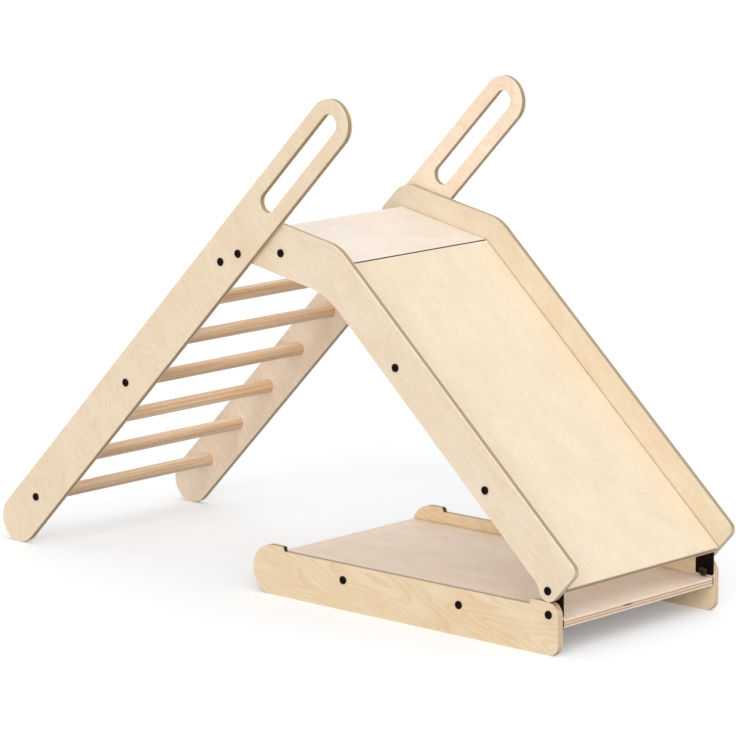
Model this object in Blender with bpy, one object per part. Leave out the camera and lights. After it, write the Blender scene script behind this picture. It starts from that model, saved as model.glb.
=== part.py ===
"""Folding climbing ramp for toddlers: a rung ladder, a railed slide and a platform on a hinged base.

Every flat piece is birch plywood of one thickness, drawn as a side-view outline (x, z) and
carried across the width along Y. The near side is -Y. The ramp stands on the floor at z = 0,
with its origin under the middle of its length and width. Metres, +Z up.
"""

from dataclasses import dataclass
from math import asin, atan2, ceil, cos, pi, radians, sin, tan

import bmesh
import bpy
from mathutils import Matrix, Vector

# Boards and fits
PLY = 0.015
FRAME_WIDTH = 0.480
EDGE_BREAK = 0.0015
SEAT = 0.0003
BORE_CLEARANCE = 0.0003
BOARD_GAP = 0.002
LADDER_GAP = 0.003

# Slide frame: slide and platform boards between two bent panels
SLIDE_ANGLE = radians(42.2)
PLATFORM_ANGLE = radians(11.1)
SLIDE_LENGTH = 0.792
PLATFORM_LENGTH = 0.2287
SLIDE_LIP = 0.0495
PLATFORM_LIP = 0.0469
SLIDE_SKIRT = 0.0235
NOSE_RADIUS = 0.0175
TOP_BEND_RADIUS = 0.080
UNDER_BEND_RADIUS = 0.168
TAIL_TOP_RADIUS = 0.045
TAIL_LOW_RADIUS = 0.025

# Foot of the slide frame, round the bolt that the base turns on
FOOT_RADIUS = 0.021
FOOT_DROP = 0.0131
FOOT_FLARE = 0.028
FOOT_FLARE_RADIUS = 0.020
FOOT_CLEARANCE = 0.0007

# Ladder, measured along its rails
LADDER_ANGLE = radians(45.45)
RAIL_WIDTH = 0.096
RUNG_COUNT = 7
RUNG_DIAMETER = 0.027
RUNG_SOCKET = 0.008
RUNG_CHAMFER = 0.001
FOOT_TO_RUNG = 0.0753
PIVOT_PAST_RUNG = 0.048
PIVOT_OFFSET = 0.019
PIVOT_INSET = 0.0164
PIVOT_DROP = 0.0202
SLOT_PAST_PIVOT = 0.1313
SLOT_TRAVEL = 0.2292
SLOT_WIDTH = 0.040
SCREWED_RUNG_SHARES = (0, 0.5, 1)

# Base: a low deck between two rails with a knob behind and a hump in front
BASE_LENGTH = 0.774
BASE_HEIGHT = 0.100
BASE_RECESS = 0.010
BASE_FRONT = 0.023
KNOB_HEIGHT = 0.0985
KNOB_LENGTH = 0.080
KNOB_SLOPE = radians(78)
KNOB_STEP_RADIUS = 0.004
HUMP_LENGTH = 0.063
HUMP_RUN = 0.006
HUMP_RADIUS = 0.005
FRONT_TOP_RADIUS = 0.025
FRONT_LOW_RADIUS = 0.020
DECK_HEIGHT = 0.067
DECK_SETBACK = 0.005

# Hinge plates inside the base rails
PLATE_THICKNESS = 0.003
PLATE_LENGTH = 0.042
PLATE_RISE = 0.004
PLATE_CORNER = 0.004
PLATE_BACK_RADIUS = 0.016
EYE_CLEARANCE = 0.0009
HINGE_BOLT_LEAD = 0.002
HINGE_BOLT_RISE = 0.010

# Screws, bolts, nuts and washers
HEAD_DIAMETER = 0.016
HEAD_HEIGHT = 0.0025
HEAD_CHAMFER = 0.0008
HEX_FLATS = 0.005
HEX_DEPTH = 0.0018
SCREW_DIAMETER = 0.005
SCREW_LENGTH = 0.050
SCREW_TIP = 0.006
BOLT_DIAMETER = 0.006
BOLT_TIP = 0.001
NUT_DIAMETER = 0.018
NUT_HEIGHT = 0.005
NUT_BORE = 0.0025
WASHER_DIAMETER = 0.018
HARDWARE_EDGE = 0.0003
BOARD_SCREW_SHARES = (0.31, 0.69)
PLATFORM_SCREW_SHARE = 0.48

# Mesh fineness and cuts
ARC_STEP = radians(12)
BEVEL_LIMIT = radians(50)
SMOOTH_LIMIT = radians(40)
RUNG_SIDES = 24
SMALL_SIDES = 14
HEX_SIDES = 6
SAME_POINT = 0.00001
OVERRUN = 0.001

# Finishes: colour, roughness, metallic
BIRCH_FACE = ((0.88, 0.74, 0.56), 0.55, 0.0)
BIRCH_DECK = ((0.86, 0.70, 0.53), 0.55, 0.0)
RUNG_WOOD = ((0.74, 0.55, 0.39), 0.50, 0.0)
BLACK_STEEL = ((0.02, 0.016, 0.014), 0.45, 1.0)

SIDES = ((-1, "near"), (1, "far"))


# Side-view geometry

def heading(angle):
    """Unit vector of the side view, its angle measured from +X towards +Z."""
    return Vector((cos(angle), sin(angle)))


def left_of(direction):
    """The direction turned a quarter turn to the left."""
    return Vector((-direction.y, direction.x))


def meet(point_a, direction_a, point_b, direction_b):
    """Where two lines of the side view cross."""
    reach = (point_b - point_a).cross(direction_b) / direction_a.cross(direction_b)
    return point_a + direction_a * reach


def tangent_from(point, centre, radius, way):
    """Heading from a point to a circle, past its left side (way 1) or its right side (way -1)."""
    arm = centre - point
    return heading(atan2(arm.y, arm.x) + way * asin(radius / arm.length))


def ring(centre, radius, sides=SMALL_SIDES):
    """A regular outline with its corners on a circle."""
    return [centre + heading(2 * pi * index / sides) * radius for index in range(sides)]


def rounded(corners):
    """Closed outline of (point, radius) corners, each radius held to what its edges leave room for."""
    points = [point for point, _ in corners]
    following = points[1:] + points[:1]
    arms = []
    for before, point, after in zip(points[-1:] + points[:-1], points, following):
        arms.append(((before - point).normalized(), (after - point).normalized()))
    turns = [pi - back.angle(ahead) for back, ahead in arms]
    wanted = [radius * tan(turn / 2) for (_, radius), turn in zip(corners, turns)]
    room = []
    for index, (point, after) in enumerate(zip(points, following)):
        both = wanted[index] + wanted[(index + 1) % len(points)]
        room.append(min(1, (after - point).length / both) if both else 1)
    outline = []
    for index, (point, (back, ahead), turn) in enumerate(zip(points, arms, turns)):
        reach = wanted[index] * min(room[index], room[index - 1])
        outline += corner_arc(point, back, ahead, turn, reach)
    return [point for point, last in zip(outline, outline[-1:] + outline) if (point - last).length > SAME_POINT]


def corner_arc(corner, back, ahead, turn, reach):
    """Points of the arc that rounds one corner, or the corner itself where it stays sharp."""
    if reach == 0:
        return [corner]
    centre = corner + (back + ahead).normalized() * (reach / sin(turn / 2))
    first = corner + back * reach - centre
    way = 1 if ahead.cross(back) > 0 else -1
    steps = max(1, ceil(turn / ARC_STEP))
    return [centre + Matrix.Rotation(way * turn * step / steps, 2) @ first for step in range(steps + 1)]


# The ramp's side view, with the foot bolt above x = 0

DOWN_SLOPE = heading(-SLIDE_ANGLE)
OFF_SLOPE = left_of(DOWN_SLOPE)
UP_PLATFORM = heading(pi - PLATFORM_ANGLE)
OFF_PLATFORM = -left_of(UP_PLATFORM)
MITRE = (OFF_SLOPE + OFF_PLATFORM).normalized()
UP_LADDER = heading(LADDER_ANGLE)
OFF_LADDER = left_of(UP_LADDER)
FORWARD = heading(0)
UPWARD = heading(pi / 2)

FOOT_BOLT = UPWARD * (BASE_HEIGHT + FOOT_CLEARANCE + FOOT_RADIUS)
SLIDE_END = FOOT_BOLT + DOWN_SLOPE * FOOT_RADIUS + OFF_SLOPE * (FOOT_DROP + PLY)
BEND = SLIDE_END - DOWN_SLOPE * SLIDE_LENGTH
PLATFORM_END = BEND + UP_PLATFORM * PLATFORM_LENGTH
PIVOT = PLATFORM_END - UP_PLATFORM * PIVOT_INSET - OFF_PLATFORM * (PLY + PIVOT_DROP)

RAIL_RADIUS = RAIL_WIDTH / 2
RAIL_AT_PIVOT = PIVOT + OFF_LADDER * PIVOT_OFFSET
FOOT_REACH = (RAIL_AT_PIVOT.y - RAIL_RADIUS) / UP_LADDER.y
LADDER_FOOT = RAIL_AT_PIVOT - UP_LADDER * FOOT_REACH
RUNG_PITCH = (FOOT_REACH - PIVOT_PAST_RUNG - FOOT_TO_RUNG) / (RUNG_COUNT - 1)
TOP_RUNG = RAIL_AT_PIVOT - UP_LADDER * PIVOT_PAST_RUNG

BASE_BACK = BASE_FRONT - BASE_LENGTH
HINGE_BOLT = FORWARD * HINGE_BOLT_LEAD + UPWARD * (DECK_HEIGHT + HINGE_BOLT_RISE)

# Distances from the middle of the width

PANEL_FACE = FRAME_WIDTH / 2
PANEL_BACK = PANEL_FACE - PLY
RAIL_BACK = PANEL_FACE + LADDER_GAP
RAIL_FACE = RAIL_BACK + PLY
BOARD_END = PANEL_BACK - SEAT
PLATE_BACK = BOARD_END - PLATE_THICKNESS
RUNG_END = RAIL_BACK + RUNG_SOCKET - SEAT


# Outlines

def panel_outline():
    """Slide panel: a slope arm with a round foot lobe and a platform arm that ends at the ladder."""
    nose = SLIDE_END + OFF_SLOPE * SLIDE_LIP
    platform_top = PLATFORM_END + OFF_PLATFORM * PLATFORM_LIP
    top_bend = meet(nose, DOWN_SLOPE, platform_top, UP_PLATFORM)
    rail_edge = RAIL_AT_PIVOT + OFF_LADDER * RAIL_RADIUS
    tail_top = meet(platform_top, UP_PLATFORM, rail_edge, UP_LADDER)
    arm_under = TOP_RUNG + OFF_PLATFORM * (RUNG_DIAMETER / 2 + SEAT)
    tail_low = meet(rail_edge, UP_LADDER, arm_under, UP_PLATFORM)
    slope_under = SLIDE_END - OFF_SLOPE * (PLY + SLIDE_SKIRT)
    under_bend = meet(arm_under, UP_PLATFORM, slope_under, DOWN_SLOPE)
    flare = meet(FOOT_BOLT - DOWN_SLOPE * FOOT_FLARE, OFF_SLOPE, slope_under, DOWN_SLOPE)
    lobe_side = tangent_from(flare, FOOT_BOLT, FOOT_RADIUS, -1)
    lobe = meet(flare, lobe_side, SLIDE_END, OFF_SLOPE)
    return rounded([
        (nose, NOSE_RADIUS),
        (top_bend, TOP_BEND_RADIUS),
        (tail_top, TAIL_TOP_RADIUS),
        (tail_low, TAIL_LOW_RADIUS),
        (under_bend, UNDER_BEND_RADIUS),
        (flare, FOOT_FLARE_RADIUS),
        (lobe, FOOT_RADIUS),
    ])


def board_outline(start, end, lift, start_cut, end_cut):
    """Edge view of a board whose top runs from start to end, each end along a cut of its own."""
    under = start - lift * PLY
    run = end - start
    return [start, end, meet(under, run, end, end_cut), meet(under, run, start, start_cut)]


def platform_outline():
    """Platform board, mitred where it meets the slide board."""
    start = BEND + UP_PLATFORM * (BOARD_GAP / 2)
    return board_outline(start, PLATFORM_END, OFF_PLATFORM, MITRE, OFF_PLATFORM)


def slide_outline():
    """Slide board, mitred at the bend and square at its foot."""
    start = BEND + DOWN_SLOPE * (BOARD_GAP / 2)
    return board_outline(start, SLIDE_END, OFF_SLOPE, MITRE, OFF_SLOPE)


def deck_outline():
    """Base board, level between the base rails."""
    start = Vector((BASE_BACK + DECK_SETBACK, DECK_HEIGHT))
    end = Vector((BASE_FRONT, DECK_HEIGHT))
    return board_outline(start, end, UPWARD, UPWARD, UPWARD)


def round_ended(start, end, radius):
    """A straight shape with round ends about two places on the ladder rail's middle line."""
    low = PIVOT_OFFSET - radius
    high = PIVOT_OFFSET + radius
    return rounded([
        (Vector((start - radius, low)), radius),
        (Vector((end + radius, low)), radius),
        (Vector((end + radius, high)), radius),
        (Vector((start - radius, high)), radius),
    ])


def base_rail_outline():
    """Base rail: a round knob behind, a long recess and a hump under the foot bolt."""
    knob_radius = KNOB_HEIGHT / 2
    knob_top = FORWARD * BASE_BACK + UPWARD * KNOB_HEIGHT
    knob_front = knob_top + FORWARD * KNOB_LENGTH
    top = UPWARD * BASE_HEIGHT
    recess = top - UPWARD * BASE_RECESS
    hump = top + FORWARD * (BASE_FRONT - HUMP_LENGTH)
    return rounded([
        (FORWARD * BASE_FRONT, FRONT_LOW_RADIUS),
        (top + FORWARD * BASE_FRONT, FRONT_TOP_RADIUS),
        (hump, HUMP_RADIUS),
        (hump - FORWARD * HUMP_RUN - UPWARD * BASE_RECESS, HUMP_RADIUS),
        (meet(knob_front, heading(-KNOB_SLOPE), recess, FORWARD), KNOB_STEP_RADIUS),
        (knob_front, KNOB_STEP_RADIUS),
        (knob_top, knob_radius),
        (FORWARD * BASE_BACK, knob_radius),
    ])


def plate_outline():
    """Hinge plate: upright sides, its top cut to clear the slide board however the base is turned."""
    front = FORWARD * BASE_FRONT + UPWARD * (DECK_HEIGHT + PLATE_RISE)
    back = front - FORWARD * PLATE_LENGTH
    eye_radius = FOOT_DROP - EYE_CLEARANCE
    under_slide = FOOT_BOLT + OFF_SLOPE * eye_radius
    level_top = FOOT_BOLT + UPWARD * eye_radius
    return rounded([
        (front, PLATE_CORNER),
        (meet(front, UPWARD, under_slide, DOWN_SLOPE), PLATE_CORNER),
        (meet(level_top, FORWARD, under_slide, DOWN_SLOPE), eye_radius),
        (meet(back, UPWARD, level_top, FORWARD), PLATE_BACK_RADIUS),
        (back, PLATE_CORNER),
    ])


# Places of screws and rungs

def slide_screws():
    """Screw places on the slide board's mid-thickness, from the top down."""
    top = BEND - OFF_SLOPE * (PLY / 2)
    return [top + DOWN_SLOPE * (SLIDE_LENGTH * share) for share in BOARD_SCREW_SHARES]


def platform_screw():
    """Screw place on the platform board's mid-thickness."""
    return PLATFORM_END - UP_PLATFORM * (PLATFORM_LENGTH * PLATFORM_SCREW_SHARE) - OFF_PLATFORM * (PLY / 2)


def deck_screws():
    """Screw places on the base board's mid-thickness, from the back forwards."""
    back = FORWARD * BASE_BACK + UPWARD * (DECK_HEIGHT - PLY / 2)
    return [back + FORWARD * (BASE_LENGTH * share) for share in BOARD_SCREW_SHARES]


def rung_centres():
    """Rung places along the ladder from its foot up, measured from the pivot."""
    first = FOOT_TO_RUNG - FOOT_REACH
    return [Vector((first + RUNG_PITCH * index, PIVOT_OFFSET)) for index in range(RUNG_COUNT)]


def screwed_rungs():
    """Indices of the rungs that screws hold as well as their sockets."""
    return sorted({round(share * (RUNG_COUNT - 1)) for share in SCREWED_RUNG_SHARES})


# Blender objects

@dataclass
class Carrier:
    """The empty that carries one rigid group, and the side-view point that lies on it."""

    empty: bpy.types.Object
    origin: Vector


def clear_scene():
    """Remove what the scene starts with."""
    for item in list(bpy.data.objects):
        bpy.data.objects.remove(item, do_unlink=True)


def add_carrier(name, place, origin, tilt=0):
    """An empty on the group's axis, its local X turned up by the tilt."""
    front = max(point.x for point in panel_outline())
    middle = (LADDER_FOOT.x - RAIL_RADIUS + front) / 2
    empty = bpy.data.objects.new(name, None)
    bpy.context.scene.collection.objects.link(empty)
    empty.location = (place.x - middle, 0, place.y)
    empty.rotation_euler = (0, -tilt, 0)
    return Carrier(empty, origin)


def finish_for(name, finish):
    """A material of its own for one piece."""
    colour, roughness, metallic = finish
    material = bpy.data.materials.new(name)
    material.use_nodes = True
    shader = material.node_tree.nodes["Principled BSDF"]
    shader.inputs["Base Color"].default_value = (*colour, 1)
    shader.inputs["Roughness"].default_value = roughness
    shader.inputs["Metallic"].default_value = metallic
    material.diffuse_color = (*colour, 1)
    return material


def add_object(name, mesh, carrier, finish, place=None, across=0):
    """Put a mesh on its carrier, at a side-view place and a distance across the width."""
    item = bpy.data.objects.new(name, mesh)
    bpy.context.scene.collection.objects.link(item)
    item.parent = carrier.empty
    local = carrier.origin - carrier.origin if place is None else place - carrier.origin
    item.location = (local.x, across, local.y)
    if not mesh.materials:
        mesh.materials.append(None)
    slot = item.material_slots[0]
    slot.link = "OBJECT"
    slot.material = finish_for(name, finish)
    return item


def finished_mesh(bm, name):
    """Turn an edited shape into a mesh, shaded smooth where it is round."""
    bmesh.ops.recalc_face_normals(bm, faces=bm.faces[:])
    mesh = bpy.data.meshes.new(name)
    bm.to_mesh(mesh)
    bm.free()
    mesh.shade_smooth()
    mesh.set_sharp_from_angle(angle=SMOOTH_LIMIT)
    return mesh


def flat_mesh(name, loops, thickness):
    """An outline, with any openings, filled and extruded evenly about y = 0."""
    bm = bmesh.new()
    for loop in loops:
        verts = [bm.verts.new((point.x, -thickness / 2, point.y)) for point in loop]
        for vert, following in zip(verts, verts[1:] + verts[:1]):
            bm.edges.new((vert, following))
    filled = bmesh.ops.triangle_fill(bm, use_beauty=True, edges=bm.edges[:])
    faces = [item for item in filled["geom"] if isinstance(item, bmesh.types.BMFace)]
    raised = bmesh.ops.extrude_face_region(bm, geom=faces)
    lifted = [item for item in raised["geom"] if isinstance(item, bmesh.types.BMVert)]
    bmesh.ops.translate(bm, verts=lifted, vec=(0, thickness, 0))
    return finished_mesh(bm, name)


def turned_mesh(name, profile, sides):
    """An open profile of (radius, depth) points, both ends on the axis, spun round Y."""
    bm = bmesh.new()
    verts = [bm.verts.new((radius, depth, 0)) for radius, depth in profile]
    edges = [bm.edges.new(pair) for pair in zip(verts, verts[1:])]
    bmesh.ops.spin(bm, geom=verts + edges, axis=(0, 1, 0), angle=2 * pi, steps=sides, use_merge=True)
    bmesh.ops.remove_doubles(bm, verts=bm.verts[:], dist=SAME_POINT)
    return finished_mesh(bm, name)


def rod_mesh(name, places, diameter, start, end, sides):
    """Parallel rods along Y between two depths, as a cutter for holes."""
    bm = bmesh.new()
    upright = Matrix.Rotation(pi / 2, 4, "X")
    for place in places:
        middle = Matrix.Translation((place.x, (start + end) / 2, place.y))
        bmesh.ops.create_cone(
            bm,
            cap_ends=True,
            segments=sides,
            radius1=diameter / 2,
            radius2=diameter / 2,
            depth=abs(end - start),
            matrix=middle @ upright,
        )
    return finished_mesh(bm, name)


def break_edges(item, width):
    """Chamfer the edges where faces meet squarely."""
    bevel = item.modifiers.new("broken_edges", "BEVEL")
    bevel.width = width
    bevel.segments = 1
    bevel.limit_method = "ANGLE"
    bevel.angle_limit = BEVEL_LIMIT


def cut(item, cutter_mesh):
    """Take a cutter's shape out of a piece that shares its parent."""
    cutter = bpy.data.objects.new(cutter_mesh.name, cutter_mesh)
    bpy.context.scene.collection.objects.link(cutter)
    cutter.parent = item.parent
    cutter.hide_render = True
    cutter.display_type = "WIRE"
    boolean = item.modifiers.new(cutter_mesh.name, "BOOLEAN")
    boolean.operation = "DIFFERENCE"
    boolean.solver = "EXACT"
    boolean.object = cutter


def drill(item, carrier, label, places, diameter, start, end, sides=SMALL_SIDES):
    """Round holes along Y in a piece, between two distances from the middle of the width."""
    local = [place - carrier.origin for place in places]
    bore = diameter + 2 * BORE_CLEARANCE
    cut(item, rod_mesh(f"{item.name}_{label}_cutter", local, bore, start, end, sides))


def add_flat(name, loops, thickness, middle, carrier, finish, edge=EDGE_BREAK):
    """A flat piece centred on a plane across the width, with its edges broken."""
    local = [[point - carrier.origin for point in loop] for loop in loops]
    item = add_object(name, flat_mesh(name, local, thickness), carrier, finish)
    item.location = (0, middle, 0)
    break_edges(item, edge)
    return item


# Hardware

def headed_mesh(name, diameter, length, tip_length, tip_diameter):
    """Round flat head with a hex socket on a plain shank along +Y, the head's seat at y = 0."""
    head = HEAD_DIAMETER / 2
    shank = diameter / 2
    profile = [
        (0, -HEAD_HEIGHT),
        (head - HEAD_CHAMFER, -HEAD_HEIGHT),
        (head, HEAD_CHAMFER - HEAD_HEIGHT),
        (head, 0),
        (shank, 0),
        (shank, length - tip_length),
        (tip_diameter / 2, length),
        (0, length),
    ]
    return socketed_mesh(name, profile, HEAD_HEIGHT)


def socketed_mesh(name, profile, height):
    """A profile spun round Y with a hex socket cut into its top, which lies the height below y = 0."""
    blank = bpy.data.objects.new(name, turned_mesh(name, profile, SMALL_SIDES))
    bpy.context.scene.collection.objects.link(blank)
    across_corners = HEX_FLATS / cos(pi / HEX_SIDES)
    floor = HEX_DEPTH - height
    cut(blank, rod_mesh(f"{name}_socket", [FORWARD * 0], across_corners, -height - OVERRUN, floor, HEX_SIDES))
    ready = blank.evaluated_get(bpy.context.evaluated_depsgraph_get())
    mesh = bpy.data.meshes.new_from_object(ready)
    bpy.data.objects.remove(blank.modifiers[0].object, do_unlink=True)
    bpy.data.objects.remove(blank, do_unlink=True)
    return mesh


def screw_mesh():
    """Wood screw with a pointed end."""
    return headed_mesh("screw", SCREW_DIAMETER, SCREW_LENGTH, SCREW_TIP, SCREW_DIAMETER / SMALL_SIDES)


def bolt_mesh(name, grip):
    """Bolt long enough for what it clamps, with its end just short of the bottom of its nut's bore."""
    length = grip + SEAT + NUT_BORE
    return headed_mesh(name, BOLT_DIAMETER, length, BOLT_TIP, BOLT_DIAMETER - 2 * BOLT_TIP)


def add_headed(name, mesh, carrier, place, side, face):
    """A screw or bolt driven inwards from a face of the given side."""
    item = add_object(name, mesh, carrier, BLACK_STEEL, place, side * (face + SEAT))
    item.rotation_euler = (0, 0, 0 if side < 0 else pi)
    return item


def nut_mesh():
    """Round cap nut with a hex socket and a blind bore for its bolt's end, its seat at y = 0."""
    rim = NUT_DIAMETER / 2
    bore = BOLT_DIAMETER / 2 + BORE_CLEARANCE
    profile = [
        (0, -NUT_HEIGHT),
        (rim - HEAD_CHAMFER, -NUT_HEIGHT),
        (rim, HEAD_CHAMFER - NUT_HEIGHT),
        (rim, 0),
        (bore, 0),
        (bore, -NUT_BORE),
        (0, -NUT_BORE),
    ]
    return socketed_mesh("cap_nut", profile, NUT_HEIGHT)


def add_nut(name, mesh, carrier, place, side, face):
    """A cap nut inside the face that it clamps, its socket towards the middle of the width."""
    item = add_object(name, mesh, carrier, BLACK_STEEL, place, side * (face - SEAT))
    item.rotation_euler = (0, 0, 0 if side > 0 else pi)
    return item


def add_washer(name, carrier, place, side):
    """Spacing washer between a ladder rail and the slide panel beside it."""
    loops = [ring(place, WASHER_DIAMETER / 2), ring(place, BOLT_DIAMETER / 2 + BORE_CLEARANCE)]
    middle = side * (PANEL_FACE + LADDER_GAP / 2)
    return add_flat(name, loops, LADDER_GAP - 2 * SEAT, middle, carrier, BLACK_STEEL, HARDWARE_EDGE)


# Slide frame

def build_slide_frame(frame, screw):
    """Two bent panels with the platform and slide boards screwed between them."""
    panel_middle = (PANEL_FACE + PANEL_BACK) / 2
    screws = [platform_screw(), *slide_screws()]
    names = ("platform_screw", "upper_slide_screw", "lower_slide_screw")
    for side, word in SIDES:
        panel = add_flat(f"{word}_slide_panel", [panel_outline()], PLY, side * panel_middle, frame, BIRCH_FACE)
        through = (side * (PANEL_BACK - OVERRUN), side * (PANEL_FACE + OVERRUN))
        drill(panel, frame, "screws", screws, SCREW_DIAMETER, *through)
        drill(panel, frame, "bolts", [PIVOT, FOOT_BOLT], BOLT_DIAMETER, *through)
        for name, place in zip(names, screws):
            add_headed(f"{word}_{name}", screw, frame, place, side, PANEL_FACE)
    platform = add_flat("platform_board", [platform_outline()], 2 * BOARD_END, 0, frame, BIRCH_FACE)
    slide = add_flat("slide_board", [slide_outline()], 2 * BOARD_END, 0, frame, BIRCH_FACE)
    drill_board_ends(platform, frame, [platform_screw()])
    drill_board_ends(slide, frame, slide_screws())


def drill_board_ends(board, carrier, places):
    """Blind screw holes in both ends of a board that lies between two panels."""
    tip = PANEL_FACE + SEAT - SCREW_LENGTH - BORE_CLEARANCE
    for side, word in SIDES:
        drill(board, carrier, word, places, SCREW_DIAMETER, side * tip, side * (BOARD_END + OVERRUN))


def build_foot_bolts(frame, nut):
    """The bolts and nuts in the slide frame's feet that the base turns on."""
    bolt = bolt_mesh("foot_bolt", PANEL_FACE - PLATE_BACK)
    for side, word in SIDES:
        add_headed(f"{word}_foot_bolt", bolt, frame, FOOT_BOLT, side, PANEL_FACE)
        add_nut(f"{word}_foot_nut", nut, frame, FOOT_BOLT, side, PLATE_BACK)


# Base

def build_base(base, screw, nut):
    """Two rails with the deck between them and a hinge plate inside each."""
    rail_middle = (PANEL_FACE + PANEL_BACK) / 2
    plate_middle = (BOARD_END + PLATE_BACK) / 2
    hinge = bolt_mesh("hinge_bolt", PANEL_FACE - PLATE_BACK)
    for side, word in SIDES:
        rail = add_flat(f"{word}_base_rail", [base_rail_outline()], PLY, side * rail_middle, base, BIRCH_FACE)
        through = (side * (PLATE_BACK - OVERRUN), side * (PANEL_FACE + OVERRUN))
        drill(rail, base, "screws", deck_screws(), SCREW_DIAMETER, *through)
        drill(rail, base, "bolt", [HINGE_BOLT], BOLT_DIAMETER, *through)
        for name, place in zip(("back_deck_screw", "front_deck_screw"), deck_screws()):
            add_headed(f"{word}_{name}", screw, base, place, side, PANEL_FACE)
        plate_name = f"{word}_hinge_plate"
        middle = side * plate_middle
        plate = add_flat(plate_name, [plate_outline()], PLATE_THICKNESS, middle, base, BLACK_STEEL, HARDWARE_EDGE)
        drill(plate, base, "bolts", [FOOT_BOLT, HINGE_BOLT], BOLT_DIAMETER, *through)
        add_headed(f"{word}_hinge_bolt", hinge, base, HINGE_BOLT, side, PANEL_FACE)
        add_nut(f"{word}_hinge_nut", nut, base, HINGE_BOLT, side, PLATE_BACK)
    deck = add_flat("deck_board", [deck_outline()], 2 * BOARD_END, 0, base, BIRCH_DECK)
    drill_board_ends(deck, base, deck_screws())


# Ladder

def build_ladder_rails(ladder):
    """Two round-ended rails with a hand slot, a socket for each rung and the pivot hole."""
    slot_end = SLOT_PAST_PIVOT + SLOT_TRAVEL
    rail = round_ended(-FOOT_REACH, slot_end, RAIL_RADIUS)
    slot = round_ended(SLOT_PAST_PIVOT, slot_end, SLOT_WIDTH / 2)
    socket_floor = RAIL_BACK + RUNG_SOCKET
    rungs = rung_centres()
    screwed = [rungs[index] for index in screwed_rungs()]
    for side, word in SIDES:
        middle = side * (RAIL_BACK + RAIL_FACE) / 2
        item = add_flat(f"{word}_ladder_rail", [rail, slot], PLY, middle, ladder, BIRCH_FACE)
        inner = side * (RAIL_BACK - OVERRUN)
        outer = side * (RAIL_FACE + OVERRUN)
        drill(item, ladder, "sockets", rungs, RUNG_DIAMETER, inner, side * socket_floor, RUNG_SIDES)
        drill(item, ladder, "screws", screwed, SCREW_DIAMETER, inner, outer)
        drill(item, ladder, "pivot", [ladder.origin], BOLT_DIAMETER, inner, outer)


def build_rungs(ladder, screw):
    """Round rungs with their ends in the rails' sockets, and the screws that hold some of them."""
    radius = RUNG_DIAMETER / 2
    profile = [
        (0, -RUNG_END),
        (radius - RUNG_CHAMFER, -RUNG_END),
        (radius, RUNG_CHAMFER - RUNG_END),
        (radius, RUNG_END - RUNG_CHAMFER),
        (radius - RUNG_CHAMFER, RUNG_END),
        (0, RUNG_END),
    ]
    mesh = turned_mesh("rung", profile, RUNG_SIDES)
    tip = RAIL_FACE + SEAT - SCREW_LENGTH - BORE_CLEARANCE
    for index, place in enumerate(rung_centres()):
        rung = add_object(f"rung_{index + 1}", mesh, ladder, RUNG_WOOD, place)
        if index not in screwed_rungs():
            continue
        for side, word in SIDES:
            drill(rung, ladder, word, [place], SCREW_DIAMETER, side * tip, side * (RUNG_END + OVERRUN))
            add_headed(f"{word}_rung_{index + 1}_screw", screw, ladder, place, side, RAIL_FACE)


def build_pivots(ladder, nut):
    """The bolts, spacing washers and nuts that the ladder turns on."""
    bolt = bolt_mesh("pivot_bolt", RAIL_FACE - PANEL_BACK)
    for side, word in SIDES:
        add_headed(f"{word}_pivot_bolt", bolt, ladder, ladder.origin, side, RAIL_FACE)
        add_washer(f"{word}_pivot_washer", ladder, ladder.origin, side)
        add_nut(f"{word}_pivot_nut", nut, ladder, ladder.origin, side, PANEL_BACK)


def main():
    """Build the ramp in its climbing position."""
    clear_scene()
    screw = screw_mesh()
    nut = nut_mesh()
    frame = add_carrier("slide_frame_place", FORWARD * 0, FORWARD * 0)
    base = add_carrier("base_axis", FOOT_BOLT, FOOT_BOLT)
    ladder = add_carrier("ladder_axis", PIVOT, FORWARD * 0, LADDER_ANGLE)
    build_slide_frame(frame, screw)
    build_foot_bolts(frame, nut)
    build_base(base, screw, nut)
    build_ladder_rails(ladder)
    build_rungs(ladder, screw)
    build_pivots(ladder, nut)


main()
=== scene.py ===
"""Finished look of a folding climbing ramp: birch plywood boards, round rungs and black hardware.

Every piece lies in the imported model's frame, in metres. +X runs from the ladder's foot to the
slide's foot, the near side is -Y and the floor is z = 0. Side views are (x, z) with the foot bolt
above x = 0, and the ramp's shift carries them into the frame.
"""
import logging
from collections.abc import Callable, Iterable, Sequence
from dataclasses import dataclass, field
from enum import Enum
from functools import partial
from math import acos, asin, atan2, ceil, cos, pi, radians, sin, sqrt, tan
from typing import Any

import bmesh
import bpy
from bpy.types import Material, Mesh, Node, NodeSocket, NodeTree, Object
from mathutils import Euler, Matrix, Vector


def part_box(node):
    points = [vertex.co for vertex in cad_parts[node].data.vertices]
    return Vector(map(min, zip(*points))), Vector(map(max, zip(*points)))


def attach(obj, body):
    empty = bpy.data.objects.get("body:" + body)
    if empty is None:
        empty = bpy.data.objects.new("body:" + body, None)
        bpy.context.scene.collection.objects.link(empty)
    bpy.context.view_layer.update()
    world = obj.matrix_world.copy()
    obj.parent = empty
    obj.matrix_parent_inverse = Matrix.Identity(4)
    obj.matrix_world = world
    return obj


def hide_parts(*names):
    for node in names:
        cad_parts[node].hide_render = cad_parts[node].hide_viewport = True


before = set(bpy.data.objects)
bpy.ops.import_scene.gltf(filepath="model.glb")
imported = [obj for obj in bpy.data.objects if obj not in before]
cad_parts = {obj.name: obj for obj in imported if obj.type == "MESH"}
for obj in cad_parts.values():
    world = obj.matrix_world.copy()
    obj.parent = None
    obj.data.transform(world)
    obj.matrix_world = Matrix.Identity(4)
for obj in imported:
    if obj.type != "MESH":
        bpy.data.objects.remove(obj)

LOG = logging.getLogger("climbing_ramp")
SAME_POINT = 0.00001
OVERRUN = 0.001
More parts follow.
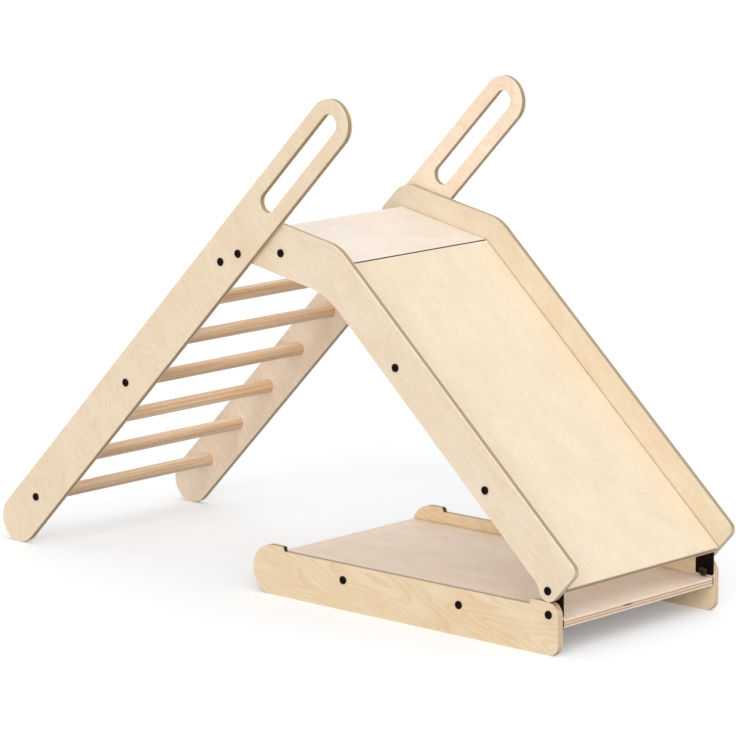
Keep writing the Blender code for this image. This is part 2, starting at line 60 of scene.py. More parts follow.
SMOOTH_LIMIT = radians(40)
SQUARE_LIMIT = radians(50)
EDGE_SEGMENTS = 3
ARC_TURN = radians(9)
ARC_ERROR = 0.00004
DRILL_SIDES = 48
HEAD_SIDES = 48
RUNG_SIDES = 64
BORE_SIDES = 36
HEX_SIDES = 6
RIM_STEPS = 4
KEY_LENGTH = 0.010
PUNCH_LENGTH = 0.020
LACQUER_IOR = 1.5
MATH = "ShaderNodeMath"
VECTOR_MATH = "ShaderNodeVectorMath"
MAP_RANGE = "ShaderNodeMapRange"
MAPPING = "ShaderNodeMapping"
MIX = "ShaderNodeMix"
NOISE = "ShaderNodeTexNoise"
VORONOI = "ShaderNodeTexVoronoi"
CYLINDER = "GeometryNodeMeshCylinder"
SOCKET_KINDS = {"Seed": "Int", "Count": "Int", "Material": "Material", "First": "Vector", "Step": "Vector"}
HEAD_LABELS = ("Head Radius", "Head Height", "Rim Radius", "Hex Radius", "Hex Depth")
SHANK_LABELS = ("Shank Radius", "Shank Length", "Tip Length", "Tip Radius")
BORE_LABELS = ("Bore Radius", "Bore Depth")

Link = Node | NodeSocket
Amount = Link | float
Adder = Callable[..., Node]
Places = Sequence[Vector]
Inputs = dict[str | int, Any]
Driven = tuple[Vector, int]


class Side(Enum):
    """A side of the ramp, its value the sign of Y there."""

    NEAR = -1
    FAR = 1

    @property
    def word(self) -> str:
        """The side's name, as the CAD nodes use it."""
        return self.name.lower()


class Slot(Enum):
    """The record's material slots."""

    FACE = "birch_face"
    DECK = "birch_deck"
    RUNG = "rung_wood"
    STEEL = "black_steel"


# Side-view geometry

def heading(angle: float) -> Vector:
    """Unit vector of the side view, its angle in radians from +X towards +Z."""
    return Vector((cos(angle), sin(angle)))


def left_of(direction: Vector) -> Vector:
    """The direction turned a quarter turn to the left."""
    return Vector((-direction.y, direction.x))


def space(point: Vector, across: float) -> Vector:
    """A side-view point or direction as a place in the frame."""
    return Vector((point.x, across, point.y))


def meet(point_a: Vector, direction_a: Vector, point_b: Vector, direction_b: Vector) -> Vector:
    """Where the line through point_a along direction_a crosses the line through point_b."""
    reach = (point_b - point_a).cross(direction_b) / direction_a.cross(direction_b)
    return point_a + direction_a * reach


def tangent_from(point: Vector, centre: Vector, radius: float, way: int) -> Vector:
    """Unit direction from a point to a circle that it touches on its left (way 1) or right (-1)."""
    arm = centre - point
    return heading(atan2(arm.y, arm.x) + way * asin(radius / arm.length))


def arc_step(radius: float) -> float:
    """The turn between an arc's points that keeps its flats close to the true curve."""
    return min(ARC_TURN, 2 * acos(1 - min(ARC_ERROR / radius, 1)))


def corner_arc(corner: Vector, back: Vector, ahead: Vector, reach: float) -> list[Vector]:
    """Round one corner of an outline.

    Args:
        corner: The sharp corner.
        back: Unit direction to the corner before it.
        ahead: Unit direction to the corner after it.
        reach: How far from the corner the arc starts, 0 for a sharp corner.

    Returns:
        The arc's points, or the corner alone.
    """
    if reach == 0:
        return [corner]
    turn = pi - back.angle(ahead)
    radius = reach / tan(turn / 2)
    centre = corner + (back + ahead).normalized() * (reach / sin(turn / 2))
    first = corner + back * reach - centre
    way = 1 if ahead.cross(back) > 0 else -1
    steps = max(1, ceil(turn / arc_step(radius)))
    return [centre + Matrix.Rotation(way * turn * step / steps, 2) @ first for step in range(steps + 1)]


def rounded(corners: Sequence[tuple[Vector, float]]) -> list[Vector]:
    """Turn corners into a closed outline, each radius held to the room it has.

    Args:
        corners: The (point, radius) corners in order round the outline.

    Returns:
        The outline's points.
    """
    points = [point for point, _ in corners]
    following = points[1:] + points[:1]
    arms = []
    for before, point, after in zip(points[-1:] + points[:-1], points, following):
        arms.append(((before - point).normalized(), (after - point).normalized()))
    turns = [pi - back.angle(ahead) for back, ahead in arms]
    wanted = [radius * tan(turn / 2) for (_, radius), turn in zip(corners, turns)]
    room = []
    for index, (point, after) in enumerate(zip(points, following)):
        both = wanted[index] + wanted[(index + 1) % len(points)]
        room.append(min(1, (after - point).length / both) if both else 1)
    outline: list[Vector] = []
    for index, (point, (back, ahead)) in enumerate(zip(points, arms)):
        outline += corner_arc(point, back, ahead, wanted[index] * min(room[index], room[index - 1]))
    kept = zip(outline, outline[-1:] + outline)
    return [point for point, last in kept if (point - last).length > SAME_POINT]


# Meshes

def add_object(name: str, mesh: Mesh) -> Object:
    """Put a mesh in the scene, its object at the origin."""
    item = bpy.data.objects.new(name, mesh)
    bpy.context.scene.collection.objects.link(item)
    return item


def mesh_from(bm: bmesh.types.BMesh, name: str) -> Mesh:
    """Turn an edited shape into a smooth-shaded mesh with its faces outwards."""
    bmesh.ops.recalc_face_normals(bm, faces=bm.faces[:])
    mesh = bpy.data.meshes.new(name)
    bm.to_mesh(mesh)
    bm.free()
    mesh.shade_smooth()
    mesh.set_sharp_from_angle(angle=SMOOTH_LIMIT)
    return mesh


def flat_piece(name: str, loops: Iterable[Places], start: float, end: float, radius: float) -> Object:
    """Fill an outline, with any openings in it, carry it across the width and round its edges.

    Args:
        name: The piece's name.
        loops: The outline and its openings, as (x, z) points of the frame.
        start: The Y of one face.
        end: The Y of the other face.
        radius: The edges' radius.

    Returns:
        The piece, its edges still a modifier.
    """
    bm = bmesh.new()
    for loop in loops:
        verts = [bm.verts.new((point.x, start, point.y)) for point in loop]
        for vert, following in zip(verts, verts[1:] + verts[:1]):
            bm.edges.new((vert, following))
    filled = bmesh.ops.triangle_fill(bm, use_beauty=True, edges=bm.edges[:])
    faces = [item for item in filled["geom"] if isinstance(item, bmesh.types.BMFace)]
    raised = bmesh.ops.extrude_face_region(bm, geom=faces)
    lifted = [item for item in raised["geom"] if isinstance(item, bmesh.types.BMVert)]
    bmesh.ops.translate(bm, verts=lifted, vec=(0, end - start, 0))
    item = add_object(name, mesh_from(bm, name))
    bevel = item.modifiers.new("rounded_edges", "BEVEL")
    bevel.width = radius
    bevel.segments = EDGE_SEGMENTS
    bevel.limit_method = "ANGLE"
    bevel.angle_limit = SQUARE_LIMIT
    return item


def drill(item: Object, places: Places, diameter: float, start: float, end: float) -> None:
    """Bore round holes along Y through a piece.

    Args:
        item: The piece.
        places: The holes' (x, z) places in the frame.
        diameter: Their diameter.
        start: The Y where they start.
        end: The Y where they end.
    """
    bm = bmesh.new()
    shape = {"cap_ends": True, "segments": DRILL_SIDES, "depth": abs(end - start)}
    for place in places:
        middle = Matrix.Translation((place.x, (start + end) / 2, place.y))
        turned = middle @ Matrix.Rotation(pi / 2, 4, "X")
        bmesh.ops.create_cone(bm, radius1=diameter / 2, radius2=diameter / 2, matrix=turned, **shape)
    name = f"{item.name}_cutter"
    boolean = item.modifiers.new("bore", "BOOLEAN")
    boolean.operation = "DIFFERENCE"
    boolean.solver = "EXACT"
    boolean.object = add_object(name, mesh_from(bm, name))


def plain_mesh(item: Object) -> Mesh:
    """The mesh that an object's modifiers give, as data of its own."""
    graph = bpy.context.evaluated_depsgraph_get()
    ready = item.evaluated_get(graph)
    return bpy.data.meshes.new_from_object(ready, preserve_all_data_layers=True, depsgraph=graph)


def settle(item: Object) -> None:
    """Apply a piece's modifiers, remove its cutters and shade its flats flat and its edges round."""
    mesh = plain_mesh(item)
    for modifier in item.modifiers:
        if modifier.type == "BOOLEAN":
            bpy.data.objects.remove(modifier.object, do_unlink=True)
    item.modifiers.clear()
    mesh.set_sharp_from_angle(angle=SMOOTH_LIMIT)
    item.data = mesh
    weighted = item.modifiers.new("flat_shading", "WEIGHTED_NORMAL")
    weighted.keep_sharp = True
    item.data = plain_mesh(item)
    item.modifiers.clear()


def finish_piece(item: Object, material: Material, body: str, nodes: Sequence[str]) -> None:
    """Give a piece its material and tie it to the frame.

    Args:
        item: The piece, in place.
        material: Its finish.
        body: The CAD body that it moves with.
        nodes: The CAD nodes that it stands for.
    """
    item.data.materials.clear()
    item.data.materials.append(material)
    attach(item, body)
    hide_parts(*nodes)
    LOG.info("%s rides on %s and stands for %d nodes", item.name, body, len(nodes))


# Node trees

def feed(node: Node, inputs: Inputs) -> None:
    """Set a node's inputs, where a socket is linked and a node gives its first output in use."""
    for key, value in inputs.items():
        if isinstance(value, Node):
            value = next(socket for socket in value.outputs if socket.enabled)
        if isinstance(value, NodeSocket):
            node.id_data.links.new(value, node.inputs[key])
        else:
            node.inputs[key].default_value = value


def add_node(tree: NodeTree, kind: str, inputs: Inputs | None = None, **settings: Any) -> Node:
    """Add a node, with its settings and its inputs.

    Args:
        tree: The tree it goes into.
        kind: The node's type name.
        inputs: A value, a socket or a node for each input by name or number.
        **settings: The node's own properties.

    Returns:
        The node.
    """
    node = tree.nodes.new(kind)
    node.location = (190 * (len(tree.nodes) % 12), -240 * (len(tree.nodes) // 12))
    for key, value in settings.items():
        setattr(node, key, value)
    feed(node, inputs or {})
    return node


def linear(code: str) -> tuple[float, float, float, float]:
    """Linear RGBA of an sRGB colour given as #rrggbb."""
    shown = [int(code[start:start + 2], 16) / 255 for start in (1, 3, 5)]
    light = [value / 12.92 if value <= 0.04045 else ((value + 0.055) / 1.055) ** 2.4 for value in shown]
    return light[0], light[1], light[2], 1.0


def per(*millimetres: float) -> tuple[float, ...]:
    """Scale that gives a pattern's cells these sizes, where its coordinates are in metres."""
    return tuple(1000 / size for size in millimetres)


def pattern(add: Adder, place: Link, cells: tuple[float, ...], kind: str = NOISE, **inputs: float) -> Node:
    """Add a texture whose cells have a real size along each axis.

    Args:
        add: Adds a node to the tree.
        place: Coordinates in metres.
        cells: The cells' sizes in millimetres.
        kind: The texture's type name.
        **inputs: The texture's other inputs.

    Returns:
        The texture.
    """
    drawn = add(VECTOR_MATH, {0: place, 1: per(*cells)}, operation="MULTIPLY")
    return add(kind, {"Vector": drawn, "Scale": 1.0} | inputs)


def tinted(add: Adder, base: str, *tints: tuple[Node, str]) -> Node:
    """Lay tones over a base colour.

    Args:
        add: Adds a node to the tree.
        base: The colour underneath.
        *tints: The share and the colour of each tone.

    Returns:
        The colour.
    """
    colour: Any = linear(base)
    for share, tone in tints:
        colour = add(MIX, {0: share, 6: colour, 7: linear(tone)}, data_type="RGBA")
    return colour


def new_finish(name: str) -> tuple[Material, Adder, Node]:
    """Start a material: itself, what adds a node to its tree, and its coordinates."""
    material = bpy.data.materials.new(name)
    material.use_nodes = True
    add = partial(add_node, material.node_tree)
    return material, add, add("ShaderNodeTexCoord")


def close_finish(
    material: Material, colour: Node, height: Node, relief: tuple[float, float], values: dict[str, float]
) -> Material:
    """Set a material's shader.

    Args:
        material: The material.
        colour: Its colour.
        height: Its relief.
        relief: The relief's strength, and its height in metres.
        values: The shader's plain values.

    Returns:
        The material.
    """
    tree = material.node_tree
    raised = {"Height": height, "Strength": relief[0], "Distance": relief[1]}
    bump = add_node(tree, "ShaderNodeBump", raised)
    feed(tree.nodes["Principled BSDF"], {"Base Color": colour, "Normal": bump} | values)
    return material


# Finishes

@dataclass(frozen=True)
class Lie:
    """How a board's veneer lies in the ramp."""

    middle: Vector
    grain: Vector
    face: Vector

    def turn(self) -> Euler:
        """Rotation that takes X to the grain and Z to the face."""
        return Matrix((self.grain, self.face.cross(self.grain), self.face)).transposed().to_euler()


@dataclass(frozen=True)
class Mark:
    """A dark mark on a board: where it is in the frame, how far it reaches and its colour."""

    middle: Vector
    reach: Vector
    colour: str
    plies_only: bool = True


@dataclass(frozen=True)
class BirchPlywood:
    """Birch plywood, sanded, its router-cut edges rounded over, under a clear satin lacquer.

    The rotary-cut faces show faint growth-ring contours, soft clouds and short flecks. The face
    veneer runs on over the rounded edges and the plies show between them, end grain dark and long
    grain light. The real board has eleven, drawn as five so that they show at this size. An edge
    cut across the face grain is drawn lighter than one cut along it, partly from the plies' own
    tone and partly as painted light for the front edges that face the lamps.
    """

    thickness: float
    pale: str
    warm: str
    ring: str
    ring_share: float = 0.2
    fleck: str = "#B98F62"
    along_dark: str = "#8E7656"
    along_light: str = "#AF9A78"
    # The lighter across tones are partly painted light for the front edges that face the lamps
    across_dark: str = "#C4A382"
    across_light: str = "#E3C6A8"
    roughness: float = 0.48
    veneer: tuple[float, float] = (0.0026, 0.0042)
    core: tuple[float, float] = (0.0046, 0.0058)
    wander: float = 0.0006
    ring_count: float = 24.0
    late_wood: tuple[float, float] = (0.45, 0.93)
    marks: tuple[Mark, ...] = ()

    def material(self, name: str, lie: Lie) -> Material:
        """Make the finish for one board.

        Args:
            name: The board's name.
            lie: How its veneer lies.

        Returns:
            The material.
        """
        material, add, given = new_finish(f"birch_plywood_{name}")
        place, normal = given.outputs["Object"], given.outputs["Normal"]
        boarded = {"Vector": place, "Location": lie.middle, "Rotation": lie.turn()}
        lying = add(MAPPING, boarded, vector_type="TEXTURE")
        facing = add(MAPPING, {"Vector": normal, "Rotation": lie.turn()}, vector_type="TEXTURE")
        # Real fibre is too fine to show, so it is drawn 1 mm wide and 40 mm long
        fibre = pattern(add, lying, (40, 1.0, 3.0), Detail=3.0)
        depth = self.depth(add, lying)
        bared = add(MAP_RANGE, {0: depth, 1: self.veneer[0], 2: self.veneer[1]})
        face = self.face_colour(add, lying, fibre)
        edge = self.edge_colour(add, lying, facing, depth)
        colour = add(MIX, {0: bared, 6: face, 7: edge}, data_type="RGBA")
        values = {"Roughness": self.roughness, "IOR": LACQUER_IOR, "Specular IOR Level": 0.35}
        return close_finish(material, self.marked(add, place, bared, colour), fibre, (0.3, 0.00015), values)

    def face_colour(self, add: Adder, lying: Node, fibre: Node) -> Node:
        """Colour of the face veneer.

        Args:
            add: Adds a node to the tree.
            lying: Coordinates along the grain, across it and through.
            fibre: The fine fibre.

        Returns:
            The colour.
        """
        clouds = add(MAP_RANGE, {0: pattern(add, lying, (110, 55, 40), Detail=3.0), 1: 0.38, 2: 0.62})
        rings, flecks = self.rings(add, lying, fibre), self.flecks(add, lying)
        colour = tinted(add, self.pale, (clouds, self.warm), (rings, self.ring), (flecks, self.fleck))
        sheen = pattern(add, lying, (16, 6, 9), Detail=2.0)
        mottle = add(MAP_RANGE, {0: sheen, 1: 0.3, 2: 0.7, 3: 0.97, 4: 1.03})
        streaks = add(MAP_RANGE, {0: fibre, 1: 0.3, 2: 0.7, 3: 0.97, 4: 1.02})
        both = add(MATH, {0: mottle, 1: streaks}, operation="MULTIPLY")
        return add(VECTOR_MATH, {0: colour, 3: both}, operation="SCALE")

    def rings(self, add: Adder, lying: Node, fibre: Node) -> Node:
        """Growth rings as a rotary cut shows them, contours that darken slowly and end sharply.

        Args:
            add: Adds a node to the tree.
            lying: Coordinates along the grain, across it and through.
            fibre: The fine fibre, which makes the contours ragged.

        Returns:
            The share of ring colour.
        """
        height = pattern(add, lying, (420, 90, 60), Detail=1.6, Roughness=0.42, Distortion=0.25)
        grown = add(MATH, {0: height, 1: self.ring_count}, operation="MULTIPLY")
        ragged = add(MATH, {0: fibre, 1: 0.35, 2: grown}, operation="MULTIPLY_ADD")
        year = add(MATH, {0: ragged}, operation="FRACT")
        start, peak = self.late_wood
        rise = add(MAP_RANGE, {0: year, 1: start, 2: peak})
        fall = add(MAP_RANGE, {0: year, 1: peak, 2: 1.0, 3: 1.0, 4: 0.0})
        late = add(MATH, {0: rise, 1: fall}, operation="MULTIPLY")
        return add(MATH, {0: late, 1: self.ring_share}, operation="MULTIPLY")

    def flecks(self, add: Adder, lying: Node) -> Node:
        """Short dark flecks along the grain, 3 mm long, on about one spot in seven."""
        cells = pattern(add, lying, (36, 11, 9), VORONOI)
        near = add(MAP_RANGE, {0: cells, 1: 0.10, 2: 0.03})
        kept = add("ShaderNodeSeparateColor", {0: cells.outputs["Color"]})
        some = add(MATH, {0: kept, 1: 0.85}, operation="GREATER_THAN")
        spot = add(MATH, {0: near, 1: some}, operation="MULTIPLY")
        return add(MATH, {0: spot, 1: 0.4}, operation="MULTIPLY")

    def depth(self, add: Adder, lying: Node) -> Node:
        """How far a point lies in from the nearer face, in metres, the plies wandering by 0.2 mm."""
        parts = add("ShaderNodeSeparateXYZ", {0: lying})
        slow = add(NOISE, {"Vector": lying, "Scale": per(30)[0], "Detail": 2.0})
        wander = add(MATH, {0: slow, 1: self.wander, 2: parts.outputs[2]}, operation="MULTIPLY_ADD")
        centred = add(MATH, {0: wander, 1: self.wander / 2}, operation="SUBTRACT")
        out = add(MATH, {0: centred}, operation="ABSOLUTE")
        return add(MATH, {0: self.thickness / 2, 1: out}, operation="SUBTRACT")

    def edge_colour(self, add: Adder, lying: Node, facing: Node, depth: Node) -> Node:
        """Colour of the plies on a cut edge.

        Args:
            add: Adds a node to the tree.
            lying: Coordinates along the grain, across it and through.
            facing: Which way the surface faces, in the same directions.
            depth: Metres in from the nearer face.

        Returns:
            The colour.
        """
        parts = add("ShaderNodeSeparateXYZ", {0: facing})
        turned = add(MATH, {0: parts}, operation="ABSOLUTE")
        # Edges cut across the grain take the lighter across tones: partly painted light on lit front edges
        across = add(MAP_RANGE, {0: turned, 1: 0.35, 2: 0.85})
        dark = tinted(add, self.along_dark, (across, self.across_dark))
        light = tinted(add, self.along_light, (across, self.across_light))
        core = add(MAP_RANGE, {0: depth, 1: self.core[0], 2: self.core[1]})
        layered = add(MIX, {0: core, 6: dark, 7: light}, data_type="RGBA")
        pores = add(NOISE, {"Vector": lying, "Scale": per(1.6)[0], "Detail": 2.0})
        grey = add(MAP_RANGE, {0: pores, 1: 0.3, 2: 0.7, 3: 0.86, 4: 1.12})
        return add(VECTOR_MATH, {0: layered, 3: grey}, operation="SCALE")

    def marked(self, add: Adder, place: NodeSocket, bared: Node, colour: Node) -> Node:
        """Darken the wood inside the board's marks.

        Args:
            add: Adds a node to the tree.
            place: Places in the frame.
            bared: Where the plies show.
            colour: The colour without the marks.

        Returns:
            The colour with them.
        """
        for mark in self.marks:
            reached = {"Vector": place, "Location": mark.middle, "Scale": mark.reach}
            about = add(MAPPING, reached, vector_type="TEXTURE")
            away = add(VECTOR_MATH, {0: about}, operation="LENGTH")
            share = add(MAP_RANGE, {0: away, 1: 1.0, 2: 0.8})
            if mark.plies_only:
                share = add(MATH, {0: share, 1: bared}, operation="MULTIPLY")
            colour = add(MIX, {0: share, 6: colour, 7: linear(mark.colour)}, data_type="RGBA")
        return colour


@dataclass(frozen=True)
class TurnedBeech:
    """Beech dowel, turned and lacquered satin: straight grain in streaks, with short dark ray flecks.

    Each rung is cut from another plank, so their tones differ a little.
    """

    light: str = "#F8DDBE"
    dark: str = "#DCAE82"
    fleck: str = "#A67C55"
    roughness: float = 0.42

    def material(self) -> Material:
        """Make the finish, its grain along Y and its pattern different on each dowel."""
        material, add, given = new_finish("turned_beech")
        place = given.outputs["Object"]
        grain = pattern(add, place, (6, 360, 6), Detail=4.0)
        share = add(MAP_RANGE, {0: grain, 1: 0.32, 2: 0.68})
        rays = add(MAP_RANGE, {0: pattern(add, place, (1.6, 7, 1.6), VORONOI), 1: 0.34, 2: 0.2, 4: 0.42})
        wood = tinted(add, self.light, (share, self.dark), (rays, self.fleck))
        plank = pattern(add, place, (70, 9000, 70), Detail=0.0)
        tone = add(MAP_RANGE, {0: plank, 1: 0.3, 2: 0.7, 3: 0.9, 4: 1.1})
        toned = add(VECTOR_MATH, {0: wood, 3: tone}, operation="SCALE")
        values = {"Roughness": self.roughness, "IOR": LACQUER_IOR, "Specular IOR Level": 0.4}
        return close_finish(material, toned, grain, (0.25, 0.0001), values)


@dataclass(frozen=True)
class BlackOxideSteel:
    """Pressed steel in black oxide: near black with a brown cast and a dull satin sheen."""

    colour: str = "#1E1511"
    worn: str = "#3A2D27"
    roughness: float = 0.45

    def material(self, name: str) -> Material:
        """Make the finish, slightly cloudy where the oxide is thin."""
        material, add, given = new_finish(name)
        place = given.outputs["Object"]
        cloud = add(NOISE, {"Vector": place, "Scale": per(3.5)[0], "Detail": 3.0})
        thin = add(MAP_RANGE, {0: cloud, 1: 0.5, 2: 0.75, 4: 0.6})
        grit = add(NOISE, {"Vector": place, "Scale": per(0.35)[0], "Detail": 2.0})
        values = {"Metallic": 1.0, "Roughness": self.roughness}
        coat = tinted(add, self.colour, (thin, self.worn))
        return close_finish(material, coat, grit, (0.3, 0.00004), values)


# The ramp's side view

@dataclass
class SideView:
    """Sizes that the sub-assemblies share, and the side-view places that follow from them."""

    ply: float = 0.015
    frame_width: float = 0.480
    edge_radius: float = 0.0028
    board_radius: float = 0.0008
    join: float = 0.0006
    # Reach of the painted shade in the gaps at the boards' ends
    seam: float = 0.0018
    seam_span: float = 9.0
    seat: float = 0.0003
    bore_clearance: float = 0.0003
    ladder_gap: float = 0.003
    slide_angle: float = radians(42.2)
    platform_angle: float = radians(11.1)
    slide_length: float = 0.792
    platform_length: float = 0.2287
    foot_radius: float = 0.021
    foot_drop: float = 0.0131
    foot_clearance: float = 0.0007
    ladder_angle: float = radians(45.45)
    rail_width: float = 0.096
    rung_count: int = 7
    rung_diameter: float = 0.027
    foot_to_rung: float = 0.0753
    pivot_past_rung: float = 0.048
    pivot_offset: float = 0.019
    pivot_inset: float = 0.0164
    pivot_drop: float = 0.0202
    base_length: float = 0.774
    base_height: float = 0.100
    base_front: float = 0.023
    deck_height: float = 0.067
    deck_setback: float = 0.005
    plate_thickness: float = 0.003
    hinge_bolt_lead: float = 0.002
    hinge_bolt_rise: float = 0.010
    screw_diameter: float = 0.005
    screw_length: float = 0.050
    bolt_diameter: float = 0.006

    def __post_init__(self) -> None:
        """Work out the directions, places and distances that follow from the sizes."""
        # Along the slide, the platform and the ladder's rails, and off their upper faces
        self.down_slope = heading(-self.slide_angle)
        self.off_slope = left_of(self.down_slope)
        self.up_platform = heading(pi - self.platform_angle)
        self.off_platform = -left_of(self.up_platform)
        self.mitre = (self.off_slope + self.off_platform).normalized()
        self.up_ladder = heading(self.ladder_angle)
        self.off_ladder = left_of(self.up_ladder)
        # The bolts that the base and the ladder turn on, and the boards' upper corners between them
        self.foot_bolt = Vector((0, self.base_height + self.foot_clearance + self.foot_radius))
        off = self.off_slope * (self.foot_drop + self.ply)
        self.slide_end = self.foot_bolt + self.down_slope * self.foot_radius + off
        self.bend = self.slide_end - self.down_slope * self.slide_length
        self.platform_end = self.bend + self.up_platform * self.platform_length
        drop = self.off_platform * (self.ply + self.pivot_drop)
        self.pivot = self.platform_end - self.up_platform * self.pivot_inset - drop
        self.hinge_bolt = Vector((self.hinge_bolt_lead, self.deck_height + self.hinge_bolt_rise))
        # The rails' middle line beside the pivot, how far down it the round foot is, and the rungs
        self.rail_at_pivot = self.pivot + self.off_ladder * self.pivot_offset
        self.foot_reach = (self.rail_at_pivot.y - self.rail_width / 2) / self.up_ladder.y
        self.top_rung = self.rail_at_pivot - self.up_ladder * self.pivot_past_rung
        pitch = (self.foot_reach - self.pivot_past_rung - self.foot_to_rung) / (self.rung_count - 1)
        first = self.rail_at_pivot + self.up_ladder * (self.foot_to_rung - self.foot_reach)
        steps = range(self.rung_count)
        self.rungs = [first + self.up_ladder * (pitch * step) for step in steps]
        # The base rails' back ends, and what carries the side view to where the CAD's deck lies
        self.base_back = self.base_front - self.base_length
        deck_back = self.base_back + self.deck_setback
        self.shift = Vector((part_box("deck_board")[0].x - deck_back, 0))
        # Distances out from the middle of the width
        self.panel_face = self.frame_width / 2
        self.panel_back = self.panel_face - self.ply
        self.rail_back = self.panel_face + self.ladder_gap
        self.rail_face = self.rail_back + self.ply
        self.board_end = self.panel_back - self.seat
        self.plate_back = self.board_end - self.plate_thickness
        # Painted shade: dark lines in the gaps where a board's two ends meet the panels
        reach = Vector((self.seam_span, self.seam, self.seam_span))
        ends = [Vector((0, side.value * self.board_end, 0)) for side in Side]
        self.seams = [Mark(end, reach, "#5E4530", False) for end in ends]

    def placed(self, points: Places) -> list[Vector]:
        """Side-view places as (x, z) places of the frame."""
        return [point + self.shift for point in points]

    def bore(self, diameter: float) -> float:
        """Diameter of the clearance hole round a screw, bolt or rung."""
        return diameter + 2 * self.bore_clearance

    def upright(self, name: str, loops: Iterable[Places], side: Side, back: float) -> Object:
        """Make an upright plywood panel with rounded edges.

        Args:
            name: The piece's name.
            loops: Its outline and openings in the side view.
            side: The side of the ramp it stands on.
            back: How far out its inner face is.

        Returns:
            The piece, its modifiers still live.
        """
        low, high = sorted((side.value * back, side.value * (back + self.ply)))
        return flat_piece(name, [self.placed(loop) for loop in loops], low, high, self.edge_radius)

    def board(self, name: str, outline: Places, ends: Places) -> Object:
        """Make a board that spans the width, with blind screw holes in both ends.

        Args:
            name: The piece's name.
            outline: Its edge view.
            ends: The screws' side-view places.

        Returns:
            The settled piece.
        """
        end = self.board_end - self.join
        item = flat_piece(name, [self.placed(outline)], -end, end, self.board_radius)
        for side in Side:
            tip = side.value * (self.panel_face - self.screw_length)
            mouth = side.value * (self.board_end + OVERRUN)
            drill(item, self.placed(ends), self.bore(self.screw_diameter), tip, mouth)
        settle(item)
        return item

    def pierce(self, item: Object, side: Side, back: float, screws: Places, bolts: Places) -> None:
        """Bore clearance holes right through an upright panel and settle it.

        Args:
            item: The panel.
            side: The side of the ramp it stands on.
            back: How far out its inner face is.
            screws: The screws' side-view places.
            bolts: The bolts' side-view places.
        """
        start, end = side.value * (back - OVERRUN), side.value * (back + self.ply + OVERRUN)
        for places, diameter in ((screws, self.screw_diameter), (bolts, self.bolt_diameter)):
            drill(item, self.placed(places), self.bore(diameter), start, end)
        settle(item)


# Hardware

